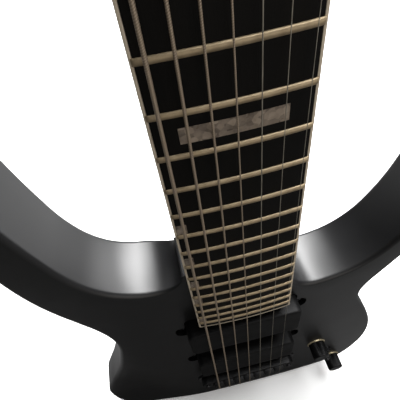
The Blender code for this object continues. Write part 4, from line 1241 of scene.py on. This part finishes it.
def make_control(label, place):
    x, d = place
    at = (x, FACE_Y, -d)
    ridges = 40
    knob = lathe(label + "_cap", [
        (0.0, KNOB_TOP - 0.0003), (0.0050, KNOB_TOP - 0.0002), (KNOB_RADIUS - 0.0016, KNOB_TOP),
        (KNOB_RADIUS - 0.0007, KNOB_TOP - 0.0003), (KNOB_RADIUS - 0.0002, KNOB_TOP - 0.0009),
        (KNOB_RADIUS, KNOB_TOP - 0.0018), (KNOB_RADIUS, 0.0026), (KNOB_RADIUS, 0.0012),
        (KNOB_RADIUS - 0.0004, 0.0005), (0.0062, 0.0005), (0.0062, 0.0046), (0.0030, 0.0046),
        (0.0030, -0.0160), (0.0, -0.0160)], at, KNOB_METAL, steps=ridges * 4)
    knurled(knob, ridges, 0.00028, KNOB_RADIUS)
    dress(knob, "black_nickel", label + "_knob", body=label + "_knob", angle=0.45)
    # The washer under the knob is real; its pale brass colour is a painted highlight for the glint at the
    # knob's base.
    ring = mm((5.8, 0), (5.8, 0.2), (8.4, 0.2), (8.5, 0.9), (8.9, 1.2), (9.4, 1), (9.7, 0.4), (9.7, 0))
    dress(lathe(label + "_washer", ring, at, WASHER_PAINTED_GLINT, steps=64), "black_nickel")


def make_switch():
    x, d = SWITCH_AT
    at = (x, FACE_Y, -d)
    case = block("switch_case", (0.016, 0.018, 0.022), (x, FACE_Y + 0.0082 + 0.009, -d), BLACK_NICKEL)
    soften(case, 0.0008)
    collar = lathe("switch_collar", mm(
        (0, 3.4), (5.4, 3.4), (5.8, 3.1), (5.8, 2.2), (7.8, 2.2), (8, 1.8), (8, 0.1), (5.8, 0.1),
        (5.8, -12), (0, -12)), at, steps=72)
    knurled(collar, 36, 0.0003, 0.0080)
    bore = lathe("switch_bore", mm((0, 6), (4.4, 6), (3.4, -2), (3.4, -9), (0, -9)), at)
    join(case, collar)
    cut(case, bore)
    dress(case, "black_nickel", "toggle_switch", angle=0.5)
    turned("switch_lever", mm(
        (0, 15.5), (1, 15.4), (1.9, 14.9), (2.6, 14), (3, 12.7), (3, 11.2), (2.7, 9.8), (2.2, 8.3),
        (1.7, 7), (1.5, 6), (1.5, -1.8), (0, -2.4)),
        (x, FACE_Y + SWITCH_PIVOT_DEPTH, -d), "toggle_lever", body="toggle_lever")


def make_jack():
    x, y, d = JACK_AT
    turned("jack_socket", mm(
        (0, -31), (3.3, -31), (3.3, -0.8), (3.7, -0.3), (5.6, -0.3), (5.8, -0.6), (9, -0.6),
        (9.6, -1.1), (9.6, -2.2), (6, -2.2), (6, -33), (0, -33)),
        (x, y, -d), "output_jack", axis="+X", steps=48, angle=0.5)


def make_cover():
    cover = slab("rear_cover", grow_outline(CAVITY_OUTLINE, COVER_LIP), BACK_Y - COVER_THICK + SNUG,
                 BACK_Y - SNUG, BLACK_PLASTIC, 0.0004, 2)
    dress(cover, "black_plastic", "control_cover", angle=0.5)
    places = mm((38, 61), (37, 8), (80, -13.5), (115, 20), (112, 76), (76, 64.5))
    for number, (x, d) in enumerate(places, 1):
        screw(f"cover_screw_{number}", 0.0022, shift(x, BACK_Y - SNUG, -BRIDGE_D - d) @ TURNS["+Y"])


def make_strap_button(name, node, place, axis):
    turned(name, mm(
        (0, 10.2), (2.6, 10.2), (3.2, 11), (6, 11.2), (6.8, 10.8), (7, 10), (6.8, 9.1), (5, 8),
        (4.1, 6.6), (3.8, 5), (4.1, 3.2), (5.2, 1.8), (6.6, 1.1), (6.6, 0), (0, 0)),
        place, node, axis=axis, steps=40)
    screw(name + "_screw", 0.0024, shift(*place) @ TURNS[axis] @ shift(0, 0, 0.0100))


def carry_over():
    """Pieces inside the guitar keep their own shape and get a procedural finish."""
    for node, material in (("truss_rod", PLAIN_STEEL), ("battery", BATTERY_CASE),
                           ("volume_pot", PLAIN_STEEL), ("tone_pot", PLAIN_STEEL)):
        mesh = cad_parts[node].data
        mesh.materials.clear()
        mesh.materials.append(material)


def make_all():
    make_body()
    make_neck()
    make_board()
    make_board_trim()
    make_nut()
    make_truss_rod_cover()
    for i in range(STRING_COUNT):
        make_string(i)
        make_tuner(i)
        make_saddle(i)
    make_pickup("neck_pickup", NECK_PICKUP_D)
    make_pickup("bridge_pickup", BRIDGE_PICKUP_D)
    make_bridge()
    make_control("volume", VOLUME_AT)
    make_control("tone", TONE_AT)
    make_switch()
    make_jack()
    make_cover()
    middle_y = (FACE_Y + BACK_Y) / 2
    make_strap_button("end_button", "strap_button_end", (0, middle_y, -END_BUTTON_D - SNUG), "-Z")
    make_strap_button("horn_button", "strap_button_horn",
                      (HORN_BUTTON_X, middle_y, -HORN_BUTTON_D + SNUG), "+Z")
    carry_over()
    clear_cutters()


# Floor, light and camera

FLOOR_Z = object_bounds()[0][2] - 0.0005
FLOOR_SIZE = 8.0
FLOOR_GLOW = 0.20
FLOOR_MIRRORED = 0.4
FLOOR_PALE = 0.86
FLOOR_BEHIND = 0.30
FLOOR_DARK = 0.08
PALE_FLOOR_FROM = -0.02
PALE_FLOOR_FULL = 0.30
WHITE_FLOOR_FROM = 0.60
WHITE_FLOOR_FULL = 1.50
WORLD_LIGHT = 0.072


def make_floor():
    """Flat floor that keeps shadows, pale to the camera and white far away.

    Every other ray sees it dark in front of the guitar and half pale behind it, where
    reflections also see it glow, so the dark face mirrors a dark room.
    """
    bm = bmesh.new()
    bmesh.ops.create_grid(bm, x_segments=8, y_segments=8, size=FLOOR_SIZE / 2)
    material = bpy.data.materials.new("floor")
    material.use_nodes = True
    tree = material.node_tree
    path = tree.nodes.new("ShaderNodeLightPath")
    place = object_place(tree)
    split = add_node(tree, "SeparateXYZ", {}, {"Vector": place})
    behind = ease(tree, split.outputs["Y"], PALE_FLOOR_FROM, PALE_FLOOR_FULL, 0.0)
    mirrored = path.outputs["Is Glossy Ray"]
    mirrored = calculate(tree, "MAXIMUM", mirrored, path.outputs["Is Transmission Ray"])
    mirrored = calculate(tree, "MULTIPLY", mirrored, behind)
    mirrored = calculate(tree, "MULTIPLY", mirrored, FLOOR_MIRRORED)
    away = add_node(tree, "VectorMath", {}, {"Vector": place})
    away.operation = "LENGTH"
    far = ease(tree, away.outputs["Value"], WHITE_FLOOR_FROM, WHITE_FLOOR_FULL, FLOOR_GLOW)
    seen = calculate(tree, "MULTIPLY", path.outputs["Is Camera Ray"], far)
    mirrored = calculate(tree, "MULTIPLY", mirrored, FLOOR_GLOW)
    glow = calculate(tree, "MAXIMUM", seen, mirrored)
    share = (FLOOR_BEHIND - FLOOR_DARK) / (FLOOR_PALE - FLOOR_DARK)
    pale = calculate(tree, "MULTIPLY", behind, share)
    pale = calculate(tree, "MAXIMUM", path.outputs["Is Camera Ray"], pale)
    shade = blend_colours(tree, pale, (FLOOR_DARK,) * 3, (FLOOR_PALE,) * 3)
    fill_in(shader_of(material),
            {"Roughness": 0.9, "Specular IOR Level": 0.1, "Emission Color": WHITE},
            {"Emission Strength": glow, "Base Color": shade})
    floor = from_bmesh("floor", bm, material)
    floor.location = (0.0, 0.0, FLOOR_Z)


def ease(tree, value, start, end, low):
    """Rise smoothly from low to 1 as the value goes from start to end."""
    step = add_node(tree, "MapRange", {"From Min": start, "From Max": end, "To Min": low}, {"Value": value})
    step.interpolation_type = "SMOOTHSTEP"
    return step.outputs["Result"]


def calculate(tree, operation, first, second):
    step = tree.nodes.new("ShaderNodeMath")
    step.operation = operation
    tree.links.new(first, step.inputs[0])
    if isinstance(second, float):
        step.inputs[1].default_value = second
    else:
        tree.links.new(second, step.inputs[1])
    return step.outputs["Value"]


def make_world():
    """White to the camera and a dim, even light to everything else."""
    world = bpy.data.worlds.new("studio")
    bpy.context.scene.world = world
    world.use_nodes = True
    tree = world.node_tree
    tree.nodes.clear()
    path = tree.nodes.new("ShaderNodeLightPath")
    seen = add_node(tree, "Background", {"Color": WHITE, "Strength": 1.0}, {})
    lit = add_node(tree, "Background", {"Color": WHITE, "Strength": WORLD_LIGHT}, {})
    mix = add_node(tree, "MixShader", {}, {"Fac": path.outputs["Is Camera Ray"],
                                           1: lit.outputs["Background"], 2: seen.outputs["Background"]})
    add_node(tree, "OutputWorld", {}, {"Surface": mix.outputs["Shader"]})


def softbox(name, place, target, width, height, watts, colour=(1.0, 1.0, 1.0)):
    light = bpy.data.lights.new(name, "AREA")
    light.shape = "RECTANGLE"
    light.size = width
    light.size_y = height
    light.energy = watts
    light.color = colour
    lamp = bpy.data.objects.new(name, light)
    bpy.context.scene.collection.objects.link(lamp)
    lamp.location = place
    lamp.rotation_euler = (Vector(target) - Vector(place)).to_track_quat("-Z", "Y").to_euler()


def make_lights():
    softbox("back_softbox", (0.36, 0.62, 0.30), (0.0, 0.03, -0.47), 0.70, 0.56, 35.0)
    softbox("window", (1.05, 0.60, -0.15), (0.0, 0.03, -0.45), 0.8, 0.9, 12.0)
    softbox("front_fill", (0.45, -1.20, -0.20), (0.0, 0.0, -0.42), 1.6, 1.4, 8.0, (1.0, 0.95, 0.88))
    softbox("overhead", (0.45, 0.10, 1.05), (0.20, 0.05, -0.70), 0.9, 0.6, 34.0)


CAMERA_PLACE = Vector((-0.02370, -0.10725, -0.22665))
CAMERA_RIGHT = Vector((0.97165, -0.20773, -0.11289))
CAMERA_UP = Vector((0.23243, 0.75186, 0.61699))
CAMERA_LENS = 34.024


def make_camera():
    camera = bpy.data.objects.new("camera", bpy.data.cameras.new("camera"))
    bpy.context.scene.collection.objects.link(camera)
    back = CAMERA_RIGHT.cross(CAMERA_UP)
    turn = Matrix((CAMERA_RIGHT, CAMERA_UP, back)).transposed()
    camera.matrix_world = Matrix.Translation(CAMERA_PLACE) @ turn.to_4x4()
    camera.data.lens = CAMERA_LENS
    camera.data.sensor_width = 36.0
    camera.data.clip_start = 0.01
    bpy.context.scene.camera = camera


make_all()
make_floor()
make_world()
make_lights()
make_camera()
bpy.context.scene.view_settings.view_transform = "Standard"
